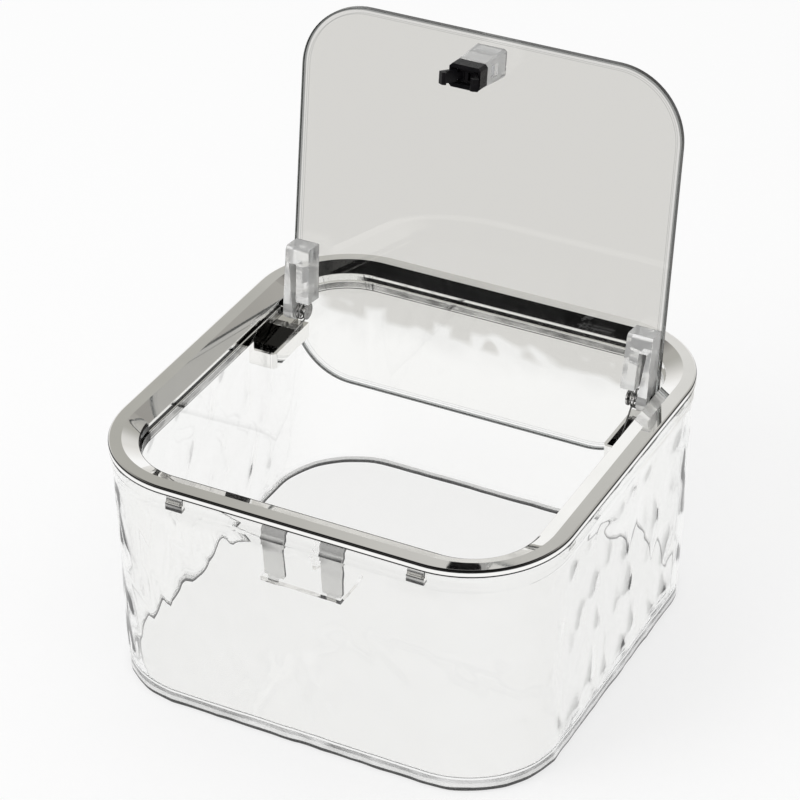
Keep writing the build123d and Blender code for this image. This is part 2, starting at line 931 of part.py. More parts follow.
os.makedirs("parts", exist_ok=True)
write("tub", tub())
write("frame", frame())
write("lid", opened(lid_shut()))
write("hinge_pin_right", opened(hinge_pin()))
write("hinge_pin_left", mirrored(opened(hinge_pin())))
right_spring = torsion_spring()
write("torsion_spring_right", right_spring)
write("torsion_spring_left", mirrored(right_spring))
print_least_gap("torsion_spring", spring_radius, spring_pitch, spring_turns, spring_wire)
write("latch_housing", opened(latch_housing()))
write("latch_collar", opened(latch_collar()))
write("latch_slider", opened(latch_slider()))
right_jaw = latch_jaw()
write("latch_jaw_right", opened(right_jaw))
write("latch_jaw_left", opened(mirrored(right_jaw)))
write("jaw_pins", [opened(pin) for pin in jaw_pins()])
write("latch_spring", opened(latch_spring()))
write("latch_cam_wire", opened(cam_wire()))
write("latch_striker", latch_striker())
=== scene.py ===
import logging
import math
from collections.abc import Iterable, Sequence
from dataclasses import dataclass
from enum import Enum

import bmesh
import bpy
import numpy as np
from mathutils import Matrix, Vector


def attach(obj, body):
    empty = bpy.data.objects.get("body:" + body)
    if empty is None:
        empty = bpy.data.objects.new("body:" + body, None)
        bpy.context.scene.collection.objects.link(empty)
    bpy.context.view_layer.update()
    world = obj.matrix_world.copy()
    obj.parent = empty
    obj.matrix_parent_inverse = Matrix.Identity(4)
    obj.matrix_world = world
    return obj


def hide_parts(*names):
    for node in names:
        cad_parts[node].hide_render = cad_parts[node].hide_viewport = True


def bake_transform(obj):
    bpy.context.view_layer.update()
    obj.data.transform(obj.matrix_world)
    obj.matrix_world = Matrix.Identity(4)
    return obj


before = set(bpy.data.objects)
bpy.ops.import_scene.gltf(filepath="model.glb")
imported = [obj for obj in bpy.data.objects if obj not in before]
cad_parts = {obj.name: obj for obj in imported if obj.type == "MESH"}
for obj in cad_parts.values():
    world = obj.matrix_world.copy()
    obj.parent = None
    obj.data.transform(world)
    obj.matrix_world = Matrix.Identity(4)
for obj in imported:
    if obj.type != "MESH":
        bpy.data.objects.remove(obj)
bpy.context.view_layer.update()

log = logging.getLogger("storage_box")

Socket = bpy.types.NodeSocket
Material = bpy.types.Material
Colour = tuple[float, float, float]
Stops = Sequence[tuple[float, Colour | float]]
Faces = list[tuple[int, ...]]
Waves = tuple[tuple[float, int, float], ...]

MM = 0.001
WHITE: Colour = (1.0, 1.0, 1.0)

# Lengths in millimetres that differ by less than this are the same
CLOSE = 1e-6

# A wire's rounded end: how far it reaches and how thick it is there, in shares of the radius
WIRE_END_REACH = 0.4
WIRE_END_RADIUS = 0.7

# A direction that none of the wires starts in
ASLANT = (0.3, 0.5, 0.81)

# The box's outline and the lid's pivot, in millimetres and degrees
HALF_WIDTH = 85.0
CORNER_RADIUS = 37.0
OPEN_ANGLE = 97.5
PIVOT = (0.0, 45.5, 86.6)


class Side(Enum):
    """The two sides of the box, as the sign of X."""

    RIGHT = 1
    LEFT = -1

    @property
    def word(self) -> str:
        """The side's name as node names spell it."""
        return self.name.lower()


class Part(Enum):
    """The bodies that pieces ride on."""

    BOX = "box"
    LID = "lid_assembly"
    SLIDER = "slider"


class Wiring:
    """Adds and links the nodes of one material or of the world."""

    def __init__(self, tree: bpy.types.NodeTree) -> None:
        """Takes a node tree and empties it."""
        self.tree = tree
        tree.nodes.clear()

    def add(self, kind: str, **settings: object) -> bpy.types.Node:
        """Adds a node and sets its properties.

        Args:
            kind: Blender's name of the node type.
            settings: Properties to set on the node.

        Returns:
            The new node.
        """
        node = self.tree.nodes.new(kind)
        for name, value in settings.items():
            setattr(node, name, value)
        return node

    def link(self, start: Socket, end: Socket) -> None:
        """Joins two sockets."""
        self.tree.links.new(start, end)

    def fill(self, sockets: Iterable[Socket], values: Iterable[object]) -> None:
        """Fills input sockets in their order.

        Args:
            sockets: The sockets.
            values: What each gets, a node's socket or a plain value.
        """
        for socket, value in zip(sockets, values):
            if isinstance(value, Socket):
                self.link(value, socket)
            else:
                socket.default_value = value

    def place(self, stretch: tuple[float, float, float] = (1, 1, 1)) -> Socket:
        """Gives places on the object in metres, stretched along each axis.

        Args:
            stretch: How many times finer the pattern is along X, Y and Z.

        Returns:
            The stretched coordinates.
        """
        coordinates = self.add("ShaderNodeTexCoord")
        mapping = self.add("ShaderNodeMapping")
        mapping.inputs["Scale"].default_value = stretch
        self.link(coordinates.outputs["Object"], mapping.inputs["Vector"])
        return mapping.outputs["Vector"]

    def noise(
        self, scale: float, detail: float = 3.0, stretch: tuple[float, float, float] = (1, 1, 1)
    ) -> Socket:
        """Adds a noise pattern.

        Args:
            scale: How many features there are to a metre.
            detail: How many finer layers lie on it.
            stretch: How many times finer it is along each axis.

        Returns:
            The pattern's value, from 0 to 1.
        """
        pattern = self.add("ShaderNodeTexNoise")
        pattern.inputs["Scale"].default_value = scale
        pattern.inputs["Detail"].default_value = detail
        self.link(self.place(stretch), pattern.inputs["Vector"])
        return pattern.outputs["Fac"]

    def ranged(
        self, value: Socket, start: float, end: float, low: float = 0.0, high: float = 1.0
    ) -> Socket:
        """Goes from low to high as a value goes from start to end, and stays there outside.

        Args:
            value: The value.
            start: Where the result is low.
            end: Where the result is high.
            low: The result at the start.
            high: The result at the end.

        Returns:
            The result.
        """
        spread = self.add("ShaderNodeMapRange")
        self.fill(spread.inputs, (value, start, end, low, high))
        return spread.outputs["Result"]

    def between(self, pattern: Socket, low: float, high: float) -> Socket:
        """Spreads a pattern's middle range, from 0.3 to 0.7, over low to high."""
        return self.ranged(pattern, 0.3, 0.7, low, high)

    def past(self, value: Socket, start: float, fade: float) -> Socket:
        """Gives 1 past a place.

        Args:
            value: Places in metres.
            start: Where the result leaves 0, in millimetres.
            fade: How much further it reaches 1, in millimetres. Below 0 it goes the other way.

        Returns:
            The result, from 0 to 1.
        """
        return self.ranged(value, start * MM, (start + fade) * MM)

    def shades(self, value: Socket, stops: Stops) -> Socket:
        """Turns a value into a colour.

        Args:
            value: The value, from 0 to 1.
            stops: Places on the value's range, each with its colour or its grey tone.

        Returns:
            The colour.
        """
        ramp = self.add("ShaderNodeValToRGB")
        elements = ramp.color_ramp.elements
        while len(elements) < len(stops):
            elements.new(1.0)
        for element, (place, colour) in zip(elements, stops):
            element.position = place
            element.color = (*(colour if isinstance(colour, tuple) else (colour,) * 3), 1.0)
        self.link(value, ramp.inputs["Fac"])
        return ramp.outputs["Color"]

    def reckoned(self, operation: str, *values: Socket | float) -> Socket:
        """Works out one step of arithmetic.

        Args:
            operation: Blender's name of the step.
            values: Sockets or numbers, in the step's order.

        Returns:
            The result.
        """
        node = self.add("ShaderNodeMath", operation=operation)
        self.fill(node.inputs, values)
        return node.outputs["Value"]

    def vectored(self, operation: str, *values: Socket | Colour) -> Socket:
        """Works out one step of arithmetic on places or colours.

        Args:
            operation: Blender's name of the step.
            values: Sockets or rows of three numbers, in the step's order.

        Returns:
            The result.
        """
        node = self.add("ShaderNodeVectorMath", operation=operation)
        self.fill(node.inputs, values)
        return node.outputs["Value" if operation == "LENGTH" else "Vector"]

    def all_of(self, *masks: Socket) -> Socket:
        """Gives 1 where every mask is 1.

        Args:
            masks: Values from 0 to 1.

        Returns:
            Their product.
        """
        product = masks[0]
        for mask in masks[1:]:
            product = self.reckoned("MULTIPLY", product, mask)
        return product

    def parted(self, place: Socket) -> tuple[Socket, ...]:
        """Parts a place into its numbers.

        Args:
            place: The place.

        Returns:
            Its X, Y and Z.
        """
        split = self.add("ShaderNodeSeparateXYZ")
        self.link(place, split.inputs["Vector"])
        return tuple(split.outputs)

    def facing(self) -> Socket:
        """Tells how far the surface turns from the eye.

        Returns:
            The value, from 0 where it faces the eye to 1 where it is seen edge on.
        """
        weight = self.add("ShaderNodeLayerWeight")
        weight.inputs["Blend"].default_value = 0.5
        return weight.outputs["Facing"]

    def laid(self, mask: Socket, under: Socket | float, over: Socket | float) -> Socket:
        """Lays one tone over another.

        Args:
            mask: Where the upper tone shows, from 0 to 1.
            under: The lower tone.
            over: The upper tone.

        Returns:
            The mixed tone.
        """
        kept = self.reckoned("MULTIPLY", self.reckoned("SUBTRACT", 1.0, mask), under)
        return self.reckoned("ADD", kept, self.reckoned("MULTIPLY", mask, over))

    def blended(self, mask: Socket, under: Socket | Colour, over: Socket | Colour) -> Socket:
        """Lays one colour over another.

        Args:
            mask: Where the upper colour shows, from 0 to 1.
            under: The lower colour.
            over: The upper colour.

        Returns:
            The mixed colour.
        """
        mix = self.add("ShaderNodeMix", data_type="RGBA")
        colours = (c if isinstance(c, Socket) else (*c, 1.0) for c in (under, over))
        self.fill((mix.inputs["Factor"], mix.inputs["A"], mix.inputs["B"]), (mask, *colours))
        return mix.outputs["Result"]

    def toned(self, colour: Socket, tone: Socket) -> Socket:
        """Scales a colour by a tone.

        Args:
            colour: The colour.
            tone: The tone, from 0 to 1.

        Returns:
            The scaled colour.
        """
        node = self.add("ShaderNodeVectorMath", operation="SCALE")
        self.fill((node.inputs["Vector"], node.inputs["Scale"]), (colour, tone))
        return node.outputs["Vector"]

    def inset(self, place: Socket, half_width: float, half_depth: float, radius: float) -> Socket:
        """Measures how far inside a rounded rectangle places are.

        Args:
            place: The places, in metres, seen along Z.
            half_width: Half of the rectangle's size along X, in millimetres.
            half_depth: Half of its size along Y.
            radius: The radius of its corners.

        Returns:
            The distance in from its outline, in millimetres.
        """
        straight = ((half_width - radius) * MM, (half_depth - radius) * MM, 0)
        moved = self.vectored("SUBTRACT", self.vectored("ABSOLUTE", place), straight)
        across, along, _ = self.parted(moved)
        level = self.vectored("MULTIPLY", self.vectored("MAXIMUM", moved), (1, 1, 0))
        within = self.reckoned("MINIMUM", self.reckoned("MAXIMUM", across, along), 0.0)
        distance = self.reckoned("ADD", self.vectored("LENGTH", level), within)
        return self.reckoned("MULTIPLY_ADD", distance, -1 / MM, radius)

    def bump(self, height: Socket, depth: float) -> Socket:
        """Turns a pattern into a bumped normal.

        Args:
            height: The pattern.
            depth: How deep a full step of the pattern is, in metres.

        Returns:
            The normal.
        """
        node = self.add("ShaderNodeBump")
        node.inputs["Distance"].default_value = depth
        self.link(height, node.inputs["Height"])
        return node.outputs["Normal"]

    def coat(self, shader: bpy.types.Node, *values: Socket) -> None:
        """Links a surface's colour, roughness and normal, in that order, to its shader."""
        places = (shader.inputs[name] for name in ("Base Color", "Roughness", "Normal"))
        self.fill(places, values)

    def end(self, kind: str, shader: Socket) -> None:
        """Adds the tree's output node and links its surface."""
        self.link(shader, self.add(kind).inputs["Surface"])


def new_material(name: str) -> tuple[Material, Wiring]:
    """Starts a material.

    Args:
        name: The material's name.

    Returns:
        The material and its empty wiring.
    """
    material = bpy.data.materials.new(name)
    material.use_nodes = True
    return material, Wiring(material.node_tree)


def new_surface(name: str, **settings: float) -> tuple[Material, Wiring, bpy.types.Node]:
    """Starts a material with one surface shader.

    Args:
        name: The material's name.
        settings: Values of the shader's sockets, with their names' spaces as underscores.

    Returns:
        The material, its wiring and its surface shader.
    """
    material, wiring = new_material(name)
    shader = wiring.add("ShaderNodeBsdfPrincipled")
    wiring.end("ShaderNodeOutputMaterial", shader.outputs["BSDF"])
    for socket, value in settings.items():
        shader.inputs[socket.replace("_", " ")].default_value = value
    return material, wiring, shader


@dataclass(frozen=True)
class ClearPlastic:
    """A clear moulded plastic with faint flow lines and soft handling marks."""

    name: str
    tint: Colour
    edge_tint: Colour
    index: float = 1.49
    smoothest: float = 0.0
    roughest: float = 0.008
    milkiness: float = 0.0
    bend_start: float = 0.25
    mark_scale: float = 112.0
    flow_scale: float = 70.0
    flow_depth: float = 0.00001

    def material(self) -> Material:
        """Builds the node material.

        Returns:
            The material.
        """
        material, wiring, shader = new_surface(
            self.name, Transmission_Weight=1.0 - self.milkiness, IOR=self.index
        )
        self.cloud_over(wiring, shader)
        marks = wiring.noise(self.mark_scale, 5.0)
        flow = wiring.noise(self.flow_scale, 1.5, (1, 1, 0.4))
        wiring.coat(
            shader,
            self.colour(wiring),
            wiring.between(marks, self.smoothest, self.roughest),
            wiring.bump(flow, self.flow_depth),
        )
        return material

    def colour(self, wiring: Wiring) -> Socket:
        """Gives the plastic's tint, deeper where it is seen edge on.

        Args:
            wiring: The material's wiring.

        Returns:
            The tint.
        """
        return wiring.shades(
            wiring.facing(),
            [(0.0, self.tint), (self.bend_start, self.tint), (1.0, self.edge_tint)],
        )

    def cloud_over(self, wiring: Wiring, shader: bpy.types.Node) -> None:
        """Makes the plastic cloudier in places. Plain clear plastic has none."""


@dataclass(frozen=True)
class RippledPlastic(ClearPlastic):
    """The tub's clear plastic, whose dimples show as soft shades where they tilt."""

    shallow: float = 0.12
    middle: float = 0.42
    middle_tint: Colour = (0.925, 0.925, 0.915)

    def colour(self, wiring: Wiring) -> Socket:
        """Gives the tint, which deepens fast enough for the dimples to show.

        Args:
            wiring: The material's wiring.

        Returns:
            The tint.
        """
        stops = [(0.0, self.tint), (self.shallow, self.tint)]
        stops += [(self.middle, self.middle_tint), (1.0, self.edge_tint)]
        return wiring.shades(wiring.facing(), stops)


@dataclass(frozen=True)
class FootPlastic(ClearPlastic):
    """The edge of the tub's floor: pale, with a painted shade line where it meets the table."""

    line_height: float = 1.7
    line_waver: float = 0.2
    waver_scale: float = 60.0
    line_fade: float = 0.2
    # Painted shade: the dark line along the foot where it meets the table
    painted_line_shade: float = 0.03

    def colour(self, wiring: Wiring) -> Socket:
        """Gives the tint by height: a painted shade line along the bottom, with a slight waver.

        Args:
            wiring: The material's wiring.

        Returns:
            The tint.
        """
        height = wiring.parted(wiring.place())[2]
        waver = self.line_waver * MM
        height = wiring.reckoned(
            "ADD", height, wiring.between(wiring.noise(self.waver_scale, 2.0), -waver, waver)
        )
        line = wiring.past(height, self.line_height, self.line_fade)
        return wiring.shades(line, [(0.0, self.painted_line_shade), (1.0, self.tint)])


@dataclass(frozen=True)
class LidPlastic(ClearPlastic):
    """The lid's clear plastic: painted shade along its outline, and softly blurred where it is
    thick.
    """

    half_width: float = 72.7
    half_depth: float = 72.35
    middle: float = -0.35
    corner_radius: float = 25.4
    under_height: float = 90.4
    under_fade: float = -0.2
    edge_reach: float = 4.0
    outline_width: float = 0.75
    outline_fade: float = 0.12
    # Painted shade: a dark outline and, further in, a thin grey line
    painted_outline_shade: Colour = (0.2, 0.21, 0.21)
    line_start: float = 2.2
    line_end: float = 2.36
    line_fade: float = 0.16
    painted_line_shade: Colour = (0.62, 0.63, 0.62)
    border_width: float = 2.4
    border_fade: float = 0.2
    thick_tint: Colour = (0.98, 0.98, 0.975)
    thick_share: float = 0.42

    def shut(self, wiring: Wiring) -> Socket:
        """Gives places on the lid as they are with it shut.

        Args:
            wiring: The material's wiring.

        Returns:
            The places in metres, measured along Y from the lid's middle.
        """
        angle = math.radians(OPEN_ANGLE)
        pivot = Vector(PIVOT)
        shift = pivot - Matrix.Rotation(angle, 3, "X") @ pivot - Vector((0, self.middle, 0))
        coordinates = wiring.add("ShaderNodeTexCoord")
        mapping = wiring.add("ShaderNodeMapping")
        mapping.inputs["Rotation"].default_value = (angle, 0, 0)
        mapping.inputs["Location"].default_value = shift * MM
        wiring.link(coordinates.outputs["Object"], mapping.inputs["Vector"])
        return mapping.outputs["Vector"]

    def colour(self, wiring: Wiring) -> Socket:
        """Gives the tint, with a painted dark outline, a painted grey line and a painted lighter
        border inside it, standing in for how the edge bends light.

        Args:
            wiring: The material's wiring.

        Returns:
            The tint.
        """
        depth = wiring.inset(
            self.shut(wiring), self.half_width, self.half_depth, self.corner_radius
        )
        # Painted shade at the outline and the thin line, with a painted lighter band between them
        # and out to the border
        stops = (
            (0.0, self.painted_outline_shade),
            (self.outline_width, self.painted_outline_shade),
            (self.outline_width + self.outline_fade, WHITE),
            (self.line_start - self.line_fade, WHITE),
            (self.line_start, self.painted_line_shade),
            (self.line_end, self.painted_line_shade),
            (self.line_end + self.line_fade, WHITE),
        )
        edge = wiring.shades(
            wiring.ranged(depth, 0.0, self.edge_reach),
            [(place / self.edge_reach, colour) for place, colour in stops],
        )
        middle = wiring.ranged(depth, self.border_width, self.border_width + self.border_fade)
        thin = wiring.blended(middle, edge, super().colour(wiring))
        return wiring.blended(self.thick(wiring), thin, self.thick_tint)

    def thick(self, wiring: Wiring) -> Socket:
        """Gives 1 on the arms and the socket, which stand under the plate."""
        return wiring.past(wiring.parted(self.shut(wiring))[2], self.under_height, self.under_fade)

    def cloud_over(self, wiring: Wiring, shader: bpy.types.Node) -> None:
        """Makes the thick parts slightly milky, as thick mouldings look."""
        clear = wiring.reckoned("MULTIPLY_ADD", self.thick(wiring), -self.thick_share, 1.0)
        wiring.link(clear, shader.inputs["Transmission Weight"])


@dataclass(frozen=True)
class Plating:
    """Bright plating on moulded plastic, with the slight waviness of the moulding under it.

    The stops are heights on the frame in millimetres, each with the plating's tone there. Dark
    tones are painted shade and painted dark reflections in the folds and recesses that mirror each
    other and along tight edges. The border between two tones is crisp, soft or wide, which are
    widths in millimetres.
    """

    name: str
    colour: Colour
    roughness: float
    roughness_spread: float
    wave_scale: float
    wave_depth: float
    crisp: float = 0.05
    soft: float = 0.1
    wide: float = 1.0
    dullness: float = 0.96
    blur_scale: float = 90.0
    blur: tuple[float, float] = (-0.25, 0.3)
    # Painted shade: the darkest tones of the painted recess bands, bracket floors, rim edge lines
    # and front lip
    deepest_painted_shade: float = 0.05
    trough_painted_shade: float = 0.02
    edge_painted_shade: float = 0.03
    lip_painted_shade: float = 0.04
    upward: tuple[float, float] = (0.3, 0.6)
    lowest: float = 60.0
    highest: float = 93.0
    front: float = -50.0
    ledge: float = 84.2
    skirt_bottom: float = 84.9
    skirt_top: float = 87.2
    edge_inset: float = 0.7
    lip_inset: float = 11.0
    lip_line: float = 0.7
    lip_top: float = 90.9
    bracket_start: float = 15.0
    trough_top: float = 80.3
    # Painted shade and painted dark reflections in bands inside the rim: a black line under the
    # skirt, a dark skirt band and a black band on the lip wall, with pale lines between
    inside_shade_stops: Stops = (
        (84.2, 1.0), (84.25, 0.04), (84.5, 0.04), (84.55, 0.9), (84.9, 0.9), (84.95, 0.3),
        (87.1, 0.3), (87.2, 1.0), (87.6, 1.0), (87.65, 0.02), (89.2, 0.02), (89.4, 1.0),
    )
    # Painted shade on the front posts, darker towards the top under the ring
    post_shade_stops: Stops = (
        (60.0, 0.68), (78.5, 0.6), (80.0, 0.36), (84.2, 0.32),
    )
    # Heights of the painted dark lines on the rim's outer face: a painted shadow line along its
    # lower edge and a painted dark reflection along its top round
    edge_stops: Stops = (
        (90.85, 1.0), (90.9, 0.0), (92.2, 0.0), (92.25, 1.0), (92.8, 1.0), (92.85, 0.0),
    )

    def heights(self, wiring: Wiring, height: Socket, stops: Stops) -> Socket:
        """Turns a height into a tone.

        Args:
            wiring: The material's wiring.
            height: The height, in metres.
            stops: Heights in millimetres, each with its tone.

        Returns:
            The tone.
        """
        span = self.highest - self.lowest
        place = wiring.ranged(height, self.lowest * MM, self.highest * MM)
        return wiring.shades(place, [((z - self.lowest) / span, tone) for z, tone in stops])

    def painted_recess_shade(self, wiring: Wiring) -> Socket:
        """Gives the plating's painted shade and painted dark reflections in its deep places and
        along its tight edges.

        Args:
            wiring: The material's wiring.

        Returns:
            The tone, from 0 to 1.
        """
        place = wiring.place()
        _, along, height = wiring.parted(place)
        depth = wiring.inset(place, HALF_WIDTH, HALF_WIDTH, CORNER_RADIUS)
        normal = wiring.add("ShaderNodeTexCoord").outputs["Normal"]
        upward = wiring.ranged(wiring.parted(normal)[2], *self.upward)
        front = wiring.past(along, self.front, -self.wide)

        # Painted shade and painted dark reflections in bands inside the rim; on the skirt a noise
        # cloud varies them
        deep = self.heights(wiring, height, self.inside_shade_stops)
        cloud = wiring.between(wiring.noise(self.blur_scale, 2.0, (1, 1, 2.5)), *self.blur)
        clouded = wiring.reckoned("ADD", deep, cloud)
        blurred = wiring.reckoned("MAXIMUM", clouded, self.deepest_painted_shade)
        skirt = wiring.all_of(
            wiring.past(height, self.skirt_bottom, self.crisp),
            wiring.past(height, self.skirt_top, -self.crisp),
        )
        inner = wiring.ranged(depth, self.lip_inset - self.soft, self.lip_inset + self.soft)
        # Painted shade on the front posts under the ring
        post = wiring.all_of(wiring.past(height, self.ledge, -self.crisp), front)
        # Painted shade on the upward-facing floors of the hinge brackets
        trough = wiring.all_of(
            wiring.past(height, self.trough_top, -self.soft),
            wiring.past(along, self.bracket_start, self.wide),
            upward,
        )
        # Painted shadow line and painted dark reflection on the rim's outer face
        edge = wiring.all_of(
            wiring.ranged(depth, self.edge_inset, self.edge_inset - self.soft),
            self.heights(wiring, height, self.edge_stops),
        )
        lip_start = self.lip_inset - self.lip_line
        # Painted shade along the front lip inside the opening
        lip = wiring.all_of(
            wiring.ranged(depth, lip_start, lip_start + self.soft),
            wiring.past(height, self.lip_top, -self.soft),
            front,
        )

        tone = wiring.laid(inner, 1.0, wiring.laid(skirt, deep, blurred))
        tone = wiring.laid(post, tone, self.heights(wiring, height, self.post_shade_stops))
        tone = wiring.laid(trough, tone, self.trough_painted_shade)
        tone = wiring.laid(edge, tone, self.edge_painted_shade)
        return wiring.laid(lip, tone, self.lip_painted_shade)

    def material(self) -> Material:
        """Builds the node material.

        Returns:
            The material.
        """
        material, wiring, shader = new_surface(self.name, Metallic=1.0)
        duller = tuple(c * self.dullness for c in self.colour)
        cloud = wiring.noise(self.wave_scale * 1.4, 4.0)
        film = wiring.noise(self.wave_scale * 5, 5.0)
        smooth, rough = (self.roughness + s * self.roughness_spread for s in (-1, 1))
        wiring.coat(
            shader,
            wiring.toned(
                wiring.shades(cloud, [(0.35, duller), (0.65, self.colour)]), self.painted_recess_shade(wiring)
            ),
            wiring.between(film, smooth, rough),
            wiring.bump(wiring.noise(self.wave_scale, 1.0), self.wave_depth),
        )
        return material


@dataclass(frozen=True)
class DrawnSteel:
    """Drawn steel wire or pin stock, with fine lines, a few darker patches and painted shade
    towards its edge-on sides.
    """

    name: str
    bright: Colour
    dark: Colour
    roughness: float
    patch_scale: float = 420.0
    line_scale: float = 2600.0
    line_depth: float = 0.00001
    # Painted shade: how far the colour darkens where the wire turns edge on
    side_start: float = 0.15
    side_end: float = 0.85
    side_painted_shade: float = 0.06

    def material(self) -> Material:
        """Builds the node material.

        Returns:
            The material.
        """
        material, wiring, shader = new_surface(self.name, Metallic=1.0)
        patch = wiring.noise(self.patch_scale, 5.0)
        # Painted shade: the colour darkens towards the sides seen edge on
        sides = wiring.ranged(wiring.facing(), self.side_end, self.side_start)
        lines = wiring.noise(self.line_scale, 4.0, (0.15, 1, 1))
        wiring.coat(
            shader,
            wiring.toned(
                wiring.shades(patch, [(0.35, self.dark), (0.6, self.bright)]),
                wiring.reckoned("MAXIMUM", sides, self.side_painted_shade),
            ),
            wiring.between(lines, self.roughness * 0.7, self.roughness * 1.3),
            wiring.bump(lines, self.line_depth),
        )
        return material


@dataclass(frozen=True)
class MouldedPlastic:
    """An opaque moulded plastic with a fine spark-eroded texture."""

    name: str
    colour: Colour
    lighter: Colour
    roughness: float
    roughness_spread: float = 0.06
    shine: float = 0.5
    cloud_scale: float = 260.0
    grain_scale: float = 3800.0
    grain_depth: float = 0.00001

    def material(self) -> Material:
        """Builds the node material.

        Returns:
            The material.
        """
        material, wiring, shader = new_surface(self.name, Specular_IOR_Level=self.shine)
        cloud = wiring.noise(self.cloud_scale, 5.0)
        grain = wiring.noise(self.grain_scale, 3.0)
        smooth, rough = (self.roughness + s * self.roughness_spread for s in (-1, 1))
        wiring.coat(
            shader,
            wiring.shades(cloud, [(0.35, self.colour), (0.7, self.lighter)]),
            wiring.between(grain, smooth, rough),
            wiring.bump(grain, self.grain_depth),
        )
        return material


@dataclass(frozen=True)
class Finishes:
    """Every material of the box, made once."""

    tub: Material
    underside: Material
    foot: Material
    lid: Material
    striker: Material
    plating: Material
    spring: Material
    pin: Material
    black: Material
    grey: Material

    @classmethod
    def mixed(cls) -> "Finishes":
        """Makes the materials.

        Returns:
            The materials.
        """
        pale, dark = (0.9, 0.9, 0.89), (0.004, 0.004, 0.005)
        finishes = {
            "tub": RippledPlastic("clear_tub_plastic", (0.99, 0.99, 0.985), (0.86, 0.865, 0.86)),
            "underside": ClearPlastic(
                "textured_tub_underside",
                (0.995, 0.995, 0.99),
                (0.98, 0.98, 0.98),
                index=1.1,
                smoothest=0.1,
                roughest=0.18,
            ),
            "foot": FootPlastic("tub_foot_plastic", pale, pale, roughest=0.05, milkiness=0.6),
            "lid": LidPlastic("clear_lid_plastic", (0.965, 0.965, 0.955), (0.9, 0.905, 0.9)),
            "striker": ClearPlastic("clear_striker_plastic", WHITE, WHITE, index=1.15),
            "plating": Plating(
                "bright_plating",
                (0.96, 0.955, 0.94),
                roughness=0.03,
                roughness_spread=0.015,
                wave_scale=40.0,
                wave_depth=0.000002,
            ),
            "spring": DrawnSteel("spring_wire_steel", (0.86, 0.85, 0.83), (0.3, 0.3, 0.3), 0.2),
            "pin": DrawnSteel("pin_steel", (0.72, 0.71, 0.7), (0.5, 0.5, 0.5), 0.18),
            "black": MouldedPlastic(
                "black_latch_plastic", dark, (0.01, 0.009, 0.01), 0.3, shine=0.1
            ),
            "grey": MouldedPlastic(
                "grey_latch_plastic", (0.7, 0.71, 0.72), (0.78, 0.79, 0.8), 0.4
            ),
        }
        return cls(**{use: finish.material() for use, finish in finishes.items()})


def dress_node(name: str, material: Material) -> None:
    """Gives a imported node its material.

    Args:
        name: The node's name.
        material: The material for all of it.
    """
    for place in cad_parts[name].material_slots:
        place.material = material
    log.info("dressed %s in %s", name, material.name)


def lattice(rows: int, count: int, closed: bool = True) -> Faces:
    """Joins rows of vertices with four-sided faces.

    Args:
        rows: How many rows there are.
        count: How many vertices a row has.
        closed: Whether each row goes all the way round.

    Returns:
        The faces.
    """
    faces = []
    for near in range(0, (rows - 1) * count, count):
        far = near + count
        for j in range(count if closed else count - 1):
            k = (j + 1) % count
            faces.append((near + j, near + k, far + k, far + j))
    return faces


def new_piece(
    name: str, points: np.ndarray, faces: Faces, material: Material, sharp_angle: float = 40.0
) -> bpy.types.Object:
    """Makes a mesh object whose place is in its mesh.

    Args:
        name: The piece's name.
        points: One row of X, Y, Z in metres for each vertex.
        faces: Vertex numbers of each face.
        material: The piece's material.
        sharp_angle: Edges that bend more than this many degrees show as sharp.

    Returns:
        The new object.
    """
    mesh = bpy.data.meshes.new(name)
    mesh.from_pydata(points.tolist(), [], faces)
    shape = bmesh.new()
    shape.from_mesh(mesh)
    bmesh.ops.recalc_face_normals(shape, faces=shape.faces)
    shape.to_mesh(mesh)
    shape.free()
    mesh.materials.append(material)
    mesh.shade_smooth()
    mesh.set_sharp_from_angle(angle=math.radians(sharp_angle))
    piece = bpy.data.objects.new(name, mesh)
    bpy.context.scene.collection.objects.link(piece)
    log.info("built %s with %d faces", name, len(mesh.polygons))
    return piece


def new_wire(
    name: str, path: np.ndarray, radius: float, material: Material, sides: int = 14
) -> bpy.types.Object:
    """Sweeps a round wire along a path, with its ends rounded off.

    Args:
        name: The wire's name.
        path: One row of X, Y, Z in metres for each point of the centre line.
        radius: The wire's radius.
        material: The wire's material.
        sides: How many sides the wire has.

    Returns:
        The new object.
    """
    along = np.gradient(path, axis=0)
    along /= np.linalg.norm(along, axis=1)[:, None]
    first = np.cross(along[0], ASLANT)
    across = [first / np.linalg.norm(first)]
    for direction in along[1:]:
        turned = across[-1] - direction * across[-1].dot(direction)
        across.append(turned / np.linalg.norm(turned))
    across = np.array(across)
    angles = np.linspace(0, 2 * math.pi, sides, endpoint=False)[None, :, None]
    ring = np.cos(angles) * across[:, None, :]
    ring = ring + np.sin(angles) * np.cross(along, across)[:, None, :]
    ring = np.concatenate([ring[:1], ring, ring[-1:]])
    reach = radius * WIRE_END_REACH
    start, end = path[0] - along[0] * reach, path[-1] + along[-1] * reach
    centres = np.vstack([start, path, end])
    scale = np.full(len(centres), radius)
    scale[0] = scale[-1] = radius * WIRE_END_RADIUS
    points = (centres[:, None, :] + ring * scale[:, None, None]).reshape(-1, 3)
    faces = [tuple(range(sides)), *lattice(len(centres), sides)]
    faces.append(tuple(range(len(points) - 1, len(points) - sides - 1, -1)))
    return new_piece(name, points, faces, material, sharp_angle=60.0)


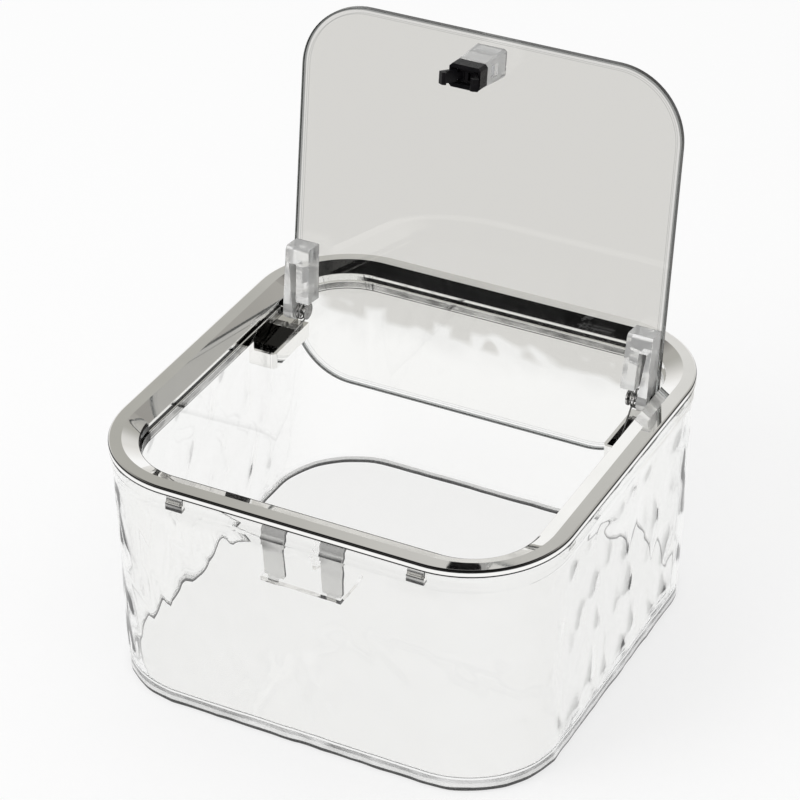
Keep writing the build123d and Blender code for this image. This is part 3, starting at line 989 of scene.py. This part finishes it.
@dataclass
class RippledTub:
    """The clear tub: a smooth band, rippled outside walls, smooth inside walls and a flat floor.

    All its sizes are in millimetres.
    """

    rim_height: float = 90.35
    rim_round: float = 0.25
    band_inset: float = 0.6
    band_height: float = 6.75
    band_step: float = 0.3
    band_edge: float = 0.06
    draft: float = 1.2
    wall: float = 2.6
    floor: float = 3.0
    foot_round: float = 1.0
    foot_steps: int = 6
    inner_round: float = 3.0
    inner_steps: int = 8
    underside_height: float = 0.05
    centre_inset: float = 36.2
    column_step: float = 1.3
    row_step: float = 1.3
    inner_row_step: float = 4.0
    floor_rows: tuple[float, ...] = (1.0, 0.7, 0.4, 0.15)
    band_rows: tuple[float, ...] = (4.4, 2.2)
    underside_rows: tuple[tuple[float, float], ...] = (
        (0.06, 0.7), (0.15, 0.2), (0.3, 0.0), (0.6, 0.0), (1.0, 0.0),
    )
    ripple_width: float = 13.4
    ripple_height: float = 20.0
    ripple_depth: float = 0.43
    ripple_fade: float = 5.0
    ripple_seed: int = 41
    ripple_share: float = 0.58
    ripple_lean: float = 0.12
    firmness: float = 7.0
    shallowest: float = 0.9
    farthest: float = 8.0
    around_jitter: float = 0.3
    upward_jitter: float = 0.32
    depth_jitter: float = 0.25
    width_spread: tuple[float, float] = (0.85, 1.25)
    sideways_waves: Waves = ((1.6, 7, 1 / 9), (1.1, 23, 0.0))
    upward_waves: Waves = ((2.4, 17, 0.0), (1.2, 41, 1 / 12))
    bead_bottom: float = 85.8
    bead_height: float = 1.2
    bead_width: float = 5.2
    bead_reach: float = 0.9
    bead_front_place: float = 45.0
    bead_side_place: float = 45.5

    @property
    def straight(self) -> float:
        """Half the length of a side between its corner arcs."""
        return HALF_WIDTH - CORNER_RADIUS

    @property
    def girth(self) -> float:
        """The distance round the tub."""
        return 8 * self.straight + 2 * math.pi * CORNER_RADIUS

    def lean(self, drop: float) -> float:
        """How far the draft carries the wall in over a drop."""
        return drop * math.tan(math.radians(self.draft))

    def bead_spans(self, side: int) -> list[tuple[float, float]]:
        """Where the beads of a side start and end along it.

        Args:
            side: The side's number, from 0 at +X, counterclockwise.

        Returns:
            The start and end of each bead.
        """
        middle = self.bead_side_place if side % 2 == 0 else self.bead_front_place
        half = self.bead_width / 2
        spans = [(-middle - half, -middle + half), (middle - half, middle + half)]
        return [(max(a, -self.straight), min(b, self.straight)) for a, b in spans]

    def columns(self) -> tuple[np.ndarray, np.ndarray, np.ndarray, list[tuple[int, int]]]:
        """Walks round the tub and places its columns.

        Returns:
            The centres that the walls are offset from, the outward directions, the distance
            walked, and the first and last column of each bead.
        """
        centres, outward, walked, beads = [], [], [], []
        distance = 0.0
        for side in range(4):
            turn = side * math.pi / 2
            out = np.array([math.cos(turn), math.sin(turn)])
            run = np.array([-math.sin(turn), math.cos(turn)])
            spans = self.bead_spans(side)
            marks = sorted({-self.straight, self.straight, *[m for span in spans for m in span]})
            places = []
            for a, b in zip(marks, marks[1:]):
                steps = max(2, round((b - a) / self.column_step))
                places += [a + (b - a) * i / steps for i in range(steps)]
            for a, b in spans:
                start = len(centres) + int(np.argmin([abs(p - a) for p in places]))
                width = sum(1 for p in places if a - CLOSE <= p < b - CLOSE)
                beads.append((start, start + width))
            for place in places:
                centres.append(out * self.straight + run * place)
                outward.append(out)
                walked.append(distance + place + self.straight)
            distance += 2 * self.straight
            arc = CORNER_RADIUS * math.pi / 2
            steps = round(arc / self.column_step)
            for i in range(steps):
                angle = turn + math.pi / 2 * i / steps
                centres.append((out + run) * self.straight)
                outward.append(np.array([math.cos(angle), math.sin(angle)]))
                walked.append(distance + arc * i / steps)
            distance += arc
        return np.array(centres), np.array(outward), np.array(walked), beads

    def inner_rows(self) -> list[tuple[float, float, float]]:
        """The inside, from the middle of the floor up to the rim.

        Returns:
            Inset, height and ripple share of each row.
        """
        wall = self.band_inset + self.wall
        centre = wall + self.lean(self.rim_height - self.floor) + self.inner_round
        across = self.centre_inset - centre
        rows = [(centre + across * share, self.floor, 0.0) for share in self.floor_rows]
        for i in range(self.inner_steps + 1):
            angle = math.radians(90 * i / self.inner_steps)
            inset = centre - self.inner_round * math.sin(angle)
            rows.append((inset, self.floor + self.inner_round * (1 - math.cos(angle)), 0.0))
        bead_top = self.bead_bottom + self.bead_height
        top = self.rim_height - self.rim_round
        levels = (self.floor + self.inner_round, self.bead_bottom, bead_top, top)
        for a, b in zip(levels, levels[1:]):
            steps = max(1, round((b - a) / self.inner_row_step))
            for i in range(1, steps + 1):
                height = a + (b - a) * i / steps
                rows.append((wall + self.lean(self.rim_height - height), height, 0.0))
        rows.append((wall - self.rim_round, self.rim_height, 0.0))
        return rows

    def outer_rows(self) -> list[tuple[float, float, float]]:
        """The outside, from the rim down to the middle of the underside.

        Returns:
            Inset, height and ripple share of each row.
        """
        bottom = self.rim_height - self.band_height
        round_part = self.rim_round * 0.28
        rows = [
            (self.band_inset + self.rim_round, self.rim_height, 0.0),
            (self.band_inset + round_part, self.rim_height - round_part, 0.0),
            (self.band_inset, self.rim_height - self.rim_round, 0.0),
        ]
        levels = (*self.band_rows, self.band_edge * 2)
        rows += [(self.band_inset, bottom + level, 0.0) for level in levels]
        wall = self.band_inset + self.band_step
        rows.append((self.band_inset + self.band_edge, bottom, 0.0))
        rows.append((wall, bottom - self.band_edge, 0.0))
        run = bottom - self.foot_round
        steps = round(run / self.row_step)
        for i in range(1, steps + 1):
            drop = run * i / steps
            share = min(1.0, drop / self.ripple_fade)
            share = share * share * (3 - 2 * share)
            rows.append((wall + self.lean(drop), bottom - drop, share))
        foot = wall + self.lean(run)
        for i in range(1, self.foot_steps + 1):
            angle = math.radians(90 * i / self.foot_steps)
            inset = foot + self.foot_round * (1 - math.cos(angle))
            rows.append((inset, self.foot_round * (1 - math.sin(angle)), 1.0))
        edge = rows[-1][0]
        for inward, share in self.underside_rows:
            rows.append((edge + (self.centre_inset - edge) * inward, 0.0, share))
        return rows

    def waved(self, around: np.ndarray, up: np.ndarray, waves: Waves) -> np.ndarray:
        """Adds up waves that run round the tub.

        Args:
            around: Distances round the tub.
            up: Heights.
            waves: The size of each, how often it comes round, and its radians to a millimetre up.

        Returns:
            The sum at each place.
        """
        turn = 2 * math.pi / self.girth
        return sum(size * np.sin(times * turn * around + rise * up) for size, times, rise in waves)

    def ripple(self, walked: np.ndarray, heights: np.ndarray) -> np.ndarray:
        """Works out how deep the outside is dimpled at each place.

        The dimples lie in staggered layers, each one moved a little at random. The depth follows
        from the squared distance to the nearest middle, in shares of the dimple's size, and the
        ridges between dimples are rounded by the firmness.

        Args:
            walked: Distances round the tub.
            heights: Heights of the rows.

        Returns:
            The depth from 0 to 1, a row for each height and a column for each distance.
        """
        rng = np.random.default_rng(self.ripple_seed)
        girth = self.girth
        count = round(girth / self.ripple_width)
        layers = math.ceil(self.rim_height / self.ripple_height) + 1
        around, up = np.meshgrid(walked, heights)
        bent = around + self.waved(around, up, self.sideways_waves)
        raised = up + self.waved(around, up, self.upward_waves)
        total = np.zeros_like(around)
        for layer in range(layers):
            for number in range(count):
                place = number + 0.5 * (layer % 2)
                place += rng.uniform(-self.around_jitter, self.around_jitter)
                level = layer + rng.uniform(-self.upward_jitter, self.upward_jitter)
                offset = rng.uniform(-self.depth_jitter, self.depth_jitter)
                width = self.ripple_width * self.ripple_share * rng.uniform(*self.width_spread)
                beside = (bent - place * girth / count + girth / 2) % girth - girth / 2
                above = raised - level * self.ripple_height
                reach = ((beside + self.ripple_lean * above) / width) ** 2 + offset
                reach += (above / (self.ripple_height * self.ripple_share)) ** 2
                total += np.exp(-self.firmness * np.minimum(reach, self.farthest))
        lowest = -np.log(total + 1e-12) / self.firmness
        depth = 1 - (lowest + self.depth_jitter) / (self.shallowest + self.depth_jitter)
        return np.clip(depth, 0.0, 1.0)

    def build(self, material: Material) -> bpy.types.Object:
        """Builds the tub's mesh.

        Args:
            material: The clear plastic.

        Returns:
            The tub.
        """
        centres, outward, walked, beads = self.columns()
        inner = self.inner_rows()
        rows = np.array(inner + self.outer_rows())
        insets, heights, shares = rows.T[:, :, None]
        depth = self.ripple(walked, rows[:, 1]) * shares * self.ripple_depth
        reach = CORNER_RADIUS - insets - depth
        count = len(walked)
        points = np.zeros((len(rows), count, 3))
        points[:, :, :2] = centres[None] + outward[None] * reach[:, :, None]
        points[:, :, 2] = heights
        points = points.reshape(-1, 3)
        faces = [tuple(range(count)), tuple(range(len(points) - count, len(points)))]
        faces += lattice(len(rows), count)
        low = min(i for i, row in enumerate(inner) if abs(row[1] - self.bead_bottom) < CLOSE)
        points, faces = self.with_beads(points, faces, count, low, beads, outward)
        return new_piece("tub_shell", points * MM, faces, material)

    def with_beads(
        self,
        points: np.ndarray,
        faces: Faces,
        count: int,
        low: int,
        beads: list[tuple[int, int]],
        outward: np.ndarray,
    ) -> tuple[np.ndarray, Faces]:
        """Raises the snap beads from the inside wall.

        Args:
            points: The tub's vertices.
            faces: The tub's faces.
            count: How many columns there are.
            low: The row under the beads.
            beads: The first and last column of each bead.
            outward: Each column's outward direction.

        Returns:
            The vertices and the faces with the beads.
        """
        under, over = low * count, (low + 1) * count
        patches = {(under + j, under + (j + 1) % count) for a, b in beads for j in range(a, b)}
        kept = [f for f in faces if len(f) != 4 or (f[0], f[1]) not in patches]
        points = list(points)
        for first, last in beads:
            out = outward[first]
            level = points[under + first][:2].dot(out) - self.bead_reach
            bottom, top = [], []
            for j in range(first, last + 1):
                for row, chain in ((under, bottom), (over, top)):
                    place = points[row + j % count].copy()
                    place[:2] += out * (level - place[:2].dot(out))
                    chain.append(len(points))
                    points.append(place)
            for i in range(last - first):
                j, k = first + i, (first + i + 1) % count
                kept.append((bottom[i], bottom[i + 1], top[i + 1], top[i]))
                kept.append((under + j, under + k, bottom[i + 1], bottom[i]))
                kept.append((top[i], top[i + 1], over + k, over + j))
            k = last % count
            kept.append((under + first, bottom[0], top[0], over + first))
            kept.append((bottom[-1], under + k, over + k, top[-1]))
        return np.array(points), kept

    def dress(self, finishes: Finishes) -> None:
        """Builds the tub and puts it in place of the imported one.

        Args:
            finishes: The box's materials.
        """
        piece = self.build(finishes.tub)
        piece.data.materials.append(finishes.underside)
        piece.data.materials.append(finishes.foot)
        for face in piece.data.polygons:
            if face.center.z < self.underside_height * MM:
                face.material_index = 1
            elif face.center.z < (self.floor - self.underside_height) * MM:
                face.material_index = 2
        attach(piece, Part.BOX.value)
        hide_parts("tub")


@dataclass
class PlatedFrame:
    """The plated frame and the clear striker that snaps on its posts."""

    frame_node: str = "frame"
    striker_node: str = "latch_striker"

    def dress(self, finishes: Finishes) -> None:
        """Gives the frame and the striker their finishes."""
        dress_node(self.frame_node, finishes.plating)
        dress_node(self.striker_node, finishes.striker)


@dataclass
class ClearLid:
    """The clear lid and the two pins it turns on."""

    lid_node: str = "lid"
    pin_nodes: tuple[str, str] = ("hinge_pin_right", "hinge_pin_left")

    def dress(self, finishes: Finishes) -> None:
        """Gives the lid and its pins their finishes.

        Args:
            finishes: The box's materials.
        """
        dress_node(self.lid_node, finishes.lid)
        for name in self.pin_nodes:
            dress_node(name, finishes.pin)


@dataclass
class HingeSpring:
    """A torsion spring: a fixed leg in the frame's bracket, a coil and a leg up the lid's arm."""

    side: Side
    wire: float = 0.65
    radius: float = 3.3
    pitch: float = 1.08
    whole_turns: int = 2
    coil_steps: int = 110
    coil_start: float = 65.025
    leg_reach: float = 21.5
    leg_drop: float = 10.375
    fixed_leg_drift: float = 3.6
    lid_leg_length: float = 17.5
    lid_leg_drift: float = 1.3
    bend: float = 1.6
    bend_steps: int = 8
    leg_steps: int = 6

    @property
    def slope(self) -> float:
        """How steeply the fixed leg runs down, in radians."""
        bearing = math.atan2(self.leg_reach, self.leg_drop)
        return math.acos(self.radius / math.hypot(self.leg_reach, self.leg_drop)) - bearing

    @property
    def turns(self) -> float:
        """How many turns the coil has with the lid open."""
        return self.whole_turns + (180 - OPEN_ANGLE - math.degrees(self.slope)) / 360

    def coil(self) -> tuple[np.ndarray, np.ndarray]:
        """The coil's centre line.

        Returns:
            Its points and its directions.
        """
        walked = np.linspace(0, 2 * math.pi * self.turns, self.coil_steps)
        angles = self.slope - math.pi / 2 + walked
        rise = self.pitch / (2 * math.pi)
        _, y, z = PIVOT
        sines, cosines = self.radius * np.sin(angles), self.radius * np.cos(angles)
        points = np.stack([self.coil_start + rise * walked, y + cosines, z + sines], axis=1)
        ways = np.stack([np.full_like(angles, rise), -sines, cosines], axis=1)
        return points, ways / np.linalg.norm(ways, axis=1)[:, None]

    def eased(
        self, start: np.ndarray, way: np.ndarray, end: np.ndarray, end_way: np.ndarray
    ) -> np.ndarray:
        """A short smooth bend between two directions.

        Args:
            start: Where the bend starts.
            way: Its direction there.
            end: Where it ends.
            end_way: Its direction there.

        Returns:
            The bend's inner points.
        """
        span = np.linalg.norm(end - start)
        t = np.linspace(0, 1, self.bend_steps)[1:-1, None]
        return (
            (2 * t**3 - 3 * t**2 + 1) * start
            + (t**3 - 2 * t**2 + t) * way * span
            + (3 * t**2 - 2 * t**3) * end
            + (t**3 - t**2) * end_way * span
        )

    def fixed_leg(self) -> np.ndarray:
        """Draws the leg that lies in the bracket, with the bend into the coil.

        Returns:
            Its centre line.
        """
        points, ways = self.coil()
        slope = self.slope
        run = (self.leg_reach + self.radius * math.sin(slope)) / math.cos(slope)
        drift = math.atan2(self.fixed_leg_drift, run)
        length = math.hypot(run, self.fixed_leg_drift)
        ahead = math.cos(drift)
        way = np.array([-math.sin(drift), ahead * math.cos(slope), ahead * math.sin(slope)])
        bend = points[0] - (way + ways[0]) * self.bend / 2
        end = bend - way * (length - self.bend)
        straight = np.linspace(end, bend, self.leg_steps)
        return np.vstack([straight, self.eased(bend, way, points[0], ways[0]), points[:1]])

    def lid_leg(self) -> np.ndarray:
        """Draws the coil and the leg that lies along the lid's arm.

        Returns:
            Their centre line.
        """
        points, ways = self.coil()
        lean = math.radians(OPEN_ANGLE - 90)
        rise = math.atan2(self.lid_leg_drift, self.lid_leg_length)
        ahead = math.cos(rise)
        way = np.array([math.sin(rise), ahead * math.sin(lean), ahead * math.cos(lean)])
        bend = points[-1] + (way + ways[-1]) * self.bend / 2
        end = bend + way * (self.lid_leg_length - self.bend)
        straight = np.linspace(bend, end, self.leg_steps)
        return np.vstack([points, self.eased(points[-1], ways[-1], bend, way), straight])

    def dress(self, finishes: Finishes) -> None:
        """Builds the spring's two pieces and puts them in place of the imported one.

        Args:
            finishes: The box's materials.
        """
        node = f"torsion_spring_{self.side.word}"
        scale = np.array([self.side.value, 1, 1]) * MM
        radius = self.wire / 2 * MM
        leg = new_wire(
            f"{node}_bracket_leg", self.fixed_leg() * scale, radius, finishes.spring
        )
        coil = new_wire(f"{node}_coil", self.lid_leg() * scale, radius, finishes.spring)
        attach(leg, Part.BOX.value)
        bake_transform(coil)
        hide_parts(node)


@dataclass
class PushLatch:
    """The push latch: grey housing, black collar, slider and jaws, with its spring and wires."""

    latch_y: float = -63.8
    spring_low: float = 80.8
    spring_high: float = 88.45
    spring_radius: float = 1.8
    spring_wire: float = 0.5
    spring_turns: int = 5
    steps_per_turn: int = 40
    housing_node: str = "latch_housing"
    black_nodes: tuple[str, ...] = (
        "latch_collar",
        "latch_slider",
        "latch_jaw_right",
        "latch_jaw_left",
    )
    steel_nodes: tuple[str, ...] = ("jaw_pins", "latch_cam_wire")

    def opened(self, places: np.ndarray) -> np.ndarray:
        """Swings places drawn with the lid shut to where they are with it open.

        Args:
            places: One row of X, Y, Z for each place, in millimetres.

        Returns:
            The swung places, in metres.
        """
        turn = np.array(Matrix.Rotation(-math.radians(OPEN_ANGLE), 3, "X"))
        return ((places - PIVOT) @ turn.T + PIVOT) * MM

    def spring_line(self) -> np.ndarray:
        """Draws the latch spring, from the slider up to the housing's roof.

        Returns:
            Its centre line, in metres.
        """
        steps = self.steps_per_turn * self.spring_turns
        angles = np.linspace(0, 2 * math.pi * self.spring_turns, steps)
        across, along = self.spring_radius * np.sin(angles), self.spring_radius * np.cos(angles)
        heights = np.linspace(self.spring_low, self.spring_high, len(angles))
        return self.opened(np.stack([across, self.latch_y + along, heights], axis=1))

    def dress(self, finishes: Finishes) -> None:
        """Gives the latch its finishes and builds its spring.

        Args:
            finishes: The box's materials.
        """
        for name in self.black_nodes:
            dress_node(name, finishes.black)
        for name in self.steel_nodes:
            dress_node(name, finishes.pin)
        dress_node(self.housing_node, finishes.grey)
        spring = new_wire(
            "latch_push_spring",
            self.spring_line(),
            self.spring_wire / 2 * MM,
            finishes.spring,
            sides=10,
        )
        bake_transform(spring)
        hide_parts("latch_spring")


@dataclass
class Studio:
    """The white floor, the plain light and the camera."""

    floor_reach: float = 3.0
    floor_rows: int = 13
    floor_gap: float = 0.0003
    backdrop_start: float = 180.0
    backdrop_fade: float = 6.0
    backdrop_shade: Colour = (0.76, 0.75, 0.73)
    dark_start: float = -240.0
    dark_fade: float = -60.0
    near_dark_start: float = -170.0
    near_dark_fade: float = -30.0
    dark_shade: Colour = (0.03, 0.03, 0.03)
    camera_share: float = 0.3
    other_share: float = 0.1
    diffuse_light: float = 0.78
    room_stops: Stops = (
        (0.0, 1.0),
        (0.55, 1.0),
        (0.65, (0.78, 0.77, 0.75)),
        (0.745, (0.48, 0.475, 0.45)),
        (0.775, (0.43, 0.425, 0.395)),
        (0.82, (0.42, 0.41, 0.385)),
        (0.86, (0.3, 0.29, 0.275)),
        (0.9, 0.008),
    )
    through_stops: Stops = (
        (0.0, 1.0),
        (0.57, 1.0),
        (0.66, (0.85, 0.85, 0.84)),
        (0.745, (0.64, 0.64, 0.62)),
        (0.82, (0.5, 0.49, 0.47)),
        (0.88, (0.45, 0.45, 0.44)),
        (0.94, 0.4),
    )
    panel_stops: Stops = (
        (0.28, 0.0), (0.34, (0.26, 0.26, 0.27)), (0.42, (0.24, 0.24, 0.25)), (0.5, 0.0),
    )
    band_stops: Stops = ((0.66, 0.0), (0.72, 1.0), (0.84, 1.0), (0.9, 0.0))
    lamp_power: float = 7.0
    lamp_size: float = 0.9
    lamp_place: tuple[float, float, float] = (-0.7, -0.9, 1.3)
    aim: tuple[float, float, float] = (0.0, 0.0, 0.08)
    camera_place: tuple[float, float, float] = (0.4163, -0.8093, 0.6777)
    azimuth: float = 27.372
    elevation: float = 32.735
    roll: float = -0.315
    lens: float = 141.02
    sensor: float = 36.0

    def floor_material(self) -> Material:
        """Makes the floor white to the eye, with a backdrop and a dark front to mirrors.

        Returns:
            The material.
        """
        material, wiring = new_material("white_floor")
        path = wiring.add("ShaderNodeLightPath").outputs
        along = wiring.parted(wiring.place())[1]
        behind = wiring.past(along, self.backdrop_start, self.backdrop_fade)
        shade = wiring.shades(behind, [(0.0, 1.0), (1.0, self.backdrop_shade)])
        inside = wiring.reckoned("GREATER_THAN", path["Transmission Depth"], 0.5)
        mirrored = wiring.reckoned("GREATER_THAN", path["Glossy Depth"], 0.5)
        nearer = wiring.past(along, self.near_dark_start, self.near_dark_fade)
        ahead = wiring.past(along, self.dark_start, self.dark_fade)
        front = wiring.reckoned("MAXIMUM", ahead, wiring.all_of(nearer, inside))
        room = wiring.blended(wiring.all_of(front, mirrored), shade, self.dark_shade)
        surface = wiring.blended(path["Is Camera Ray"], room, WHITE)
        glow = wiring.add("ShaderNodeEmission")
        matt = wiring.add("ShaderNodeBsdfDiffuse")
        for shader in (glow, matt):
            wiring.link(surface, shader.inputs["Color"])
        share = wiring.ranged(
            path["Is Camera Ray"], 0.0, 1.0, self.other_share, self.camera_share
        )
        mix = wiring.add("ShaderNodeMixShader")
        wiring.fill(mix.inputs, (share, glow.outputs["Emission"], matt.outputs["BSDF"]))
        wiring.end("ShaderNodeOutputMaterial", mix.outputs["Shader"])
        return material

    def lay_floor(self) -> None:
        """Lays the floor just under the box."""
        steps = np.linspace(-self.floor_reach, self.floor_reach, self.floor_rows)
        points = [(x, y, -self.floor_gap) for y in steps for x in steps]
        mesh = bpy.data.meshes.new("floor")
        mesh.from_pydata(points, [], lattice(self.floor_rows, self.floor_rows, closed=False))
        mesh.materials.append(self.floor_material())
        floor = bpy.data.objects.new("floor", mesh)
        bpy.context.scene.collection.objects.link(floor)

    def fill_world(self) -> None:
        """Makes the surroundings: white to the eye, and a lit room to plating and clear plastic."""
        world = bpy.data.worlds.new("white_room")
        world.use_nodes = True
        bpy.context.scene.world = world
        wiring = Wiring(world.node_tree)
        path = wiring.add("ShaderNodeLightPath").outputs
        generated = wiring.add("ShaderNodeTexCoord").outputs["Generated"]
        across, _, up = wiring.parted(generated)
        height = wiring.ranged(up, -1.0, 1.0)
        room = wiring.shades(height, self.room_stops)
        panel = wiring.shades(wiring.ranged(across, -1.0, 1.0), self.panel_stops)
        band = wiring.shades(height, self.band_stops)
        through = wiring.shades(height, self.through_stops)
        seen = wiring.vectored("ADD", room, wiring.vectored("MULTIPLY", panel, band))
        light = (self.diffuse_light,) * 3
        for ray, colour in (("Transmission", through), ("Camera", WHITE), ("Diffuse", light)):
            seen = wiring.blended(path[f"Is {ray} Ray"], seen, colour)
        background = wiring.add("ShaderNodeBackground")
        wiring.link(seen, background.inputs["Color"])
        wiring.end("ShaderNodeOutputWorld", background.outputs["Background"])

    def hang_lamp(self) -> None:
        """Hangs one large soft lamp in front of the box, to its left."""
        lamp = bpy.data.lights.new("soft_lamp", "AREA")
        lamp.shape = "DISK"
        lamp.size = self.lamp_size
        lamp.energy = self.lamp_power
        lamp_object = bpy.data.objects.new("soft_lamp", lamp)
        lamp_object.location = self.lamp_place
        way = Vector(self.aim) - Vector(self.lamp_place)
        lamp_object.rotation_euler = way.to_track_quat("-Z", "Y").to_euler()
        lamp_object.visible_glossy = False
        lamp_object.visible_transmission = False
        bpy.context.scene.collection.objects.link(lamp_object)

    def set_camera(self) -> None:
        """Puts the camera where the photograph was taken from."""
        azimuth, elevation = math.radians(self.azimuth), math.radians(self.elevation)
        level = math.cos(elevation)
        back = Vector(
            (math.sin(azimuth) * level, -math.cos(azimuth) * level, math.sin(elevation))
        )
        right = Vector((math.cos(azimuth), math.sin(azimuth), 0))
        up = back.cross(right)
        tilt = math.radians(self.roll)
        leaned = right * math.cos(tilt) + up * math.sin(tilt)
        raised = up * math.cos(tilt) - right * math.sin(tilt)
        camera = bpy.data.cameras.new("camera")
        camera.lens = self.lens
        camera.sensor_width = self.sensor
        camera.clip_start = 0.01
        camera_object = bpy.data.objects.new("camera", camera)
        turn = Matrix((leaned, raised, back)).transposed().to_4x4()
        camera_object.matrix_world = Matrix.Translation(self.camera_place) @ turn
        bpy.context.scene.collection.objects.link(camera_object)
        bpy.context.scene.camera = camera_object

    def dress(self) -> None:
        """Sets up the floor, the surroundings, the lamp and the camera."""
        self.lay_floor()
        self.fill_world()
        self.hang_lamp()
        self.set_camera()
        bpy.context.scene.view_settings.view_transform = "Standard"


def main() -> None:
    """Builds and dresses the box in its studio."""
    finishes = Finishes.mixed()
    RippledTub().dress(finishes)
    PlatedFrame().dress(finishes)
    ClearLid().dress(finishes)
    for side in Side:
        HingeSpring(side).dress(finishes)
    PushLatch().dress(finishes)
    Studio().dress()


if __name__ == "__main__":
    logging.basicConfig(level=logging.INFO, format="%(name)s: %(message)s")
    main()
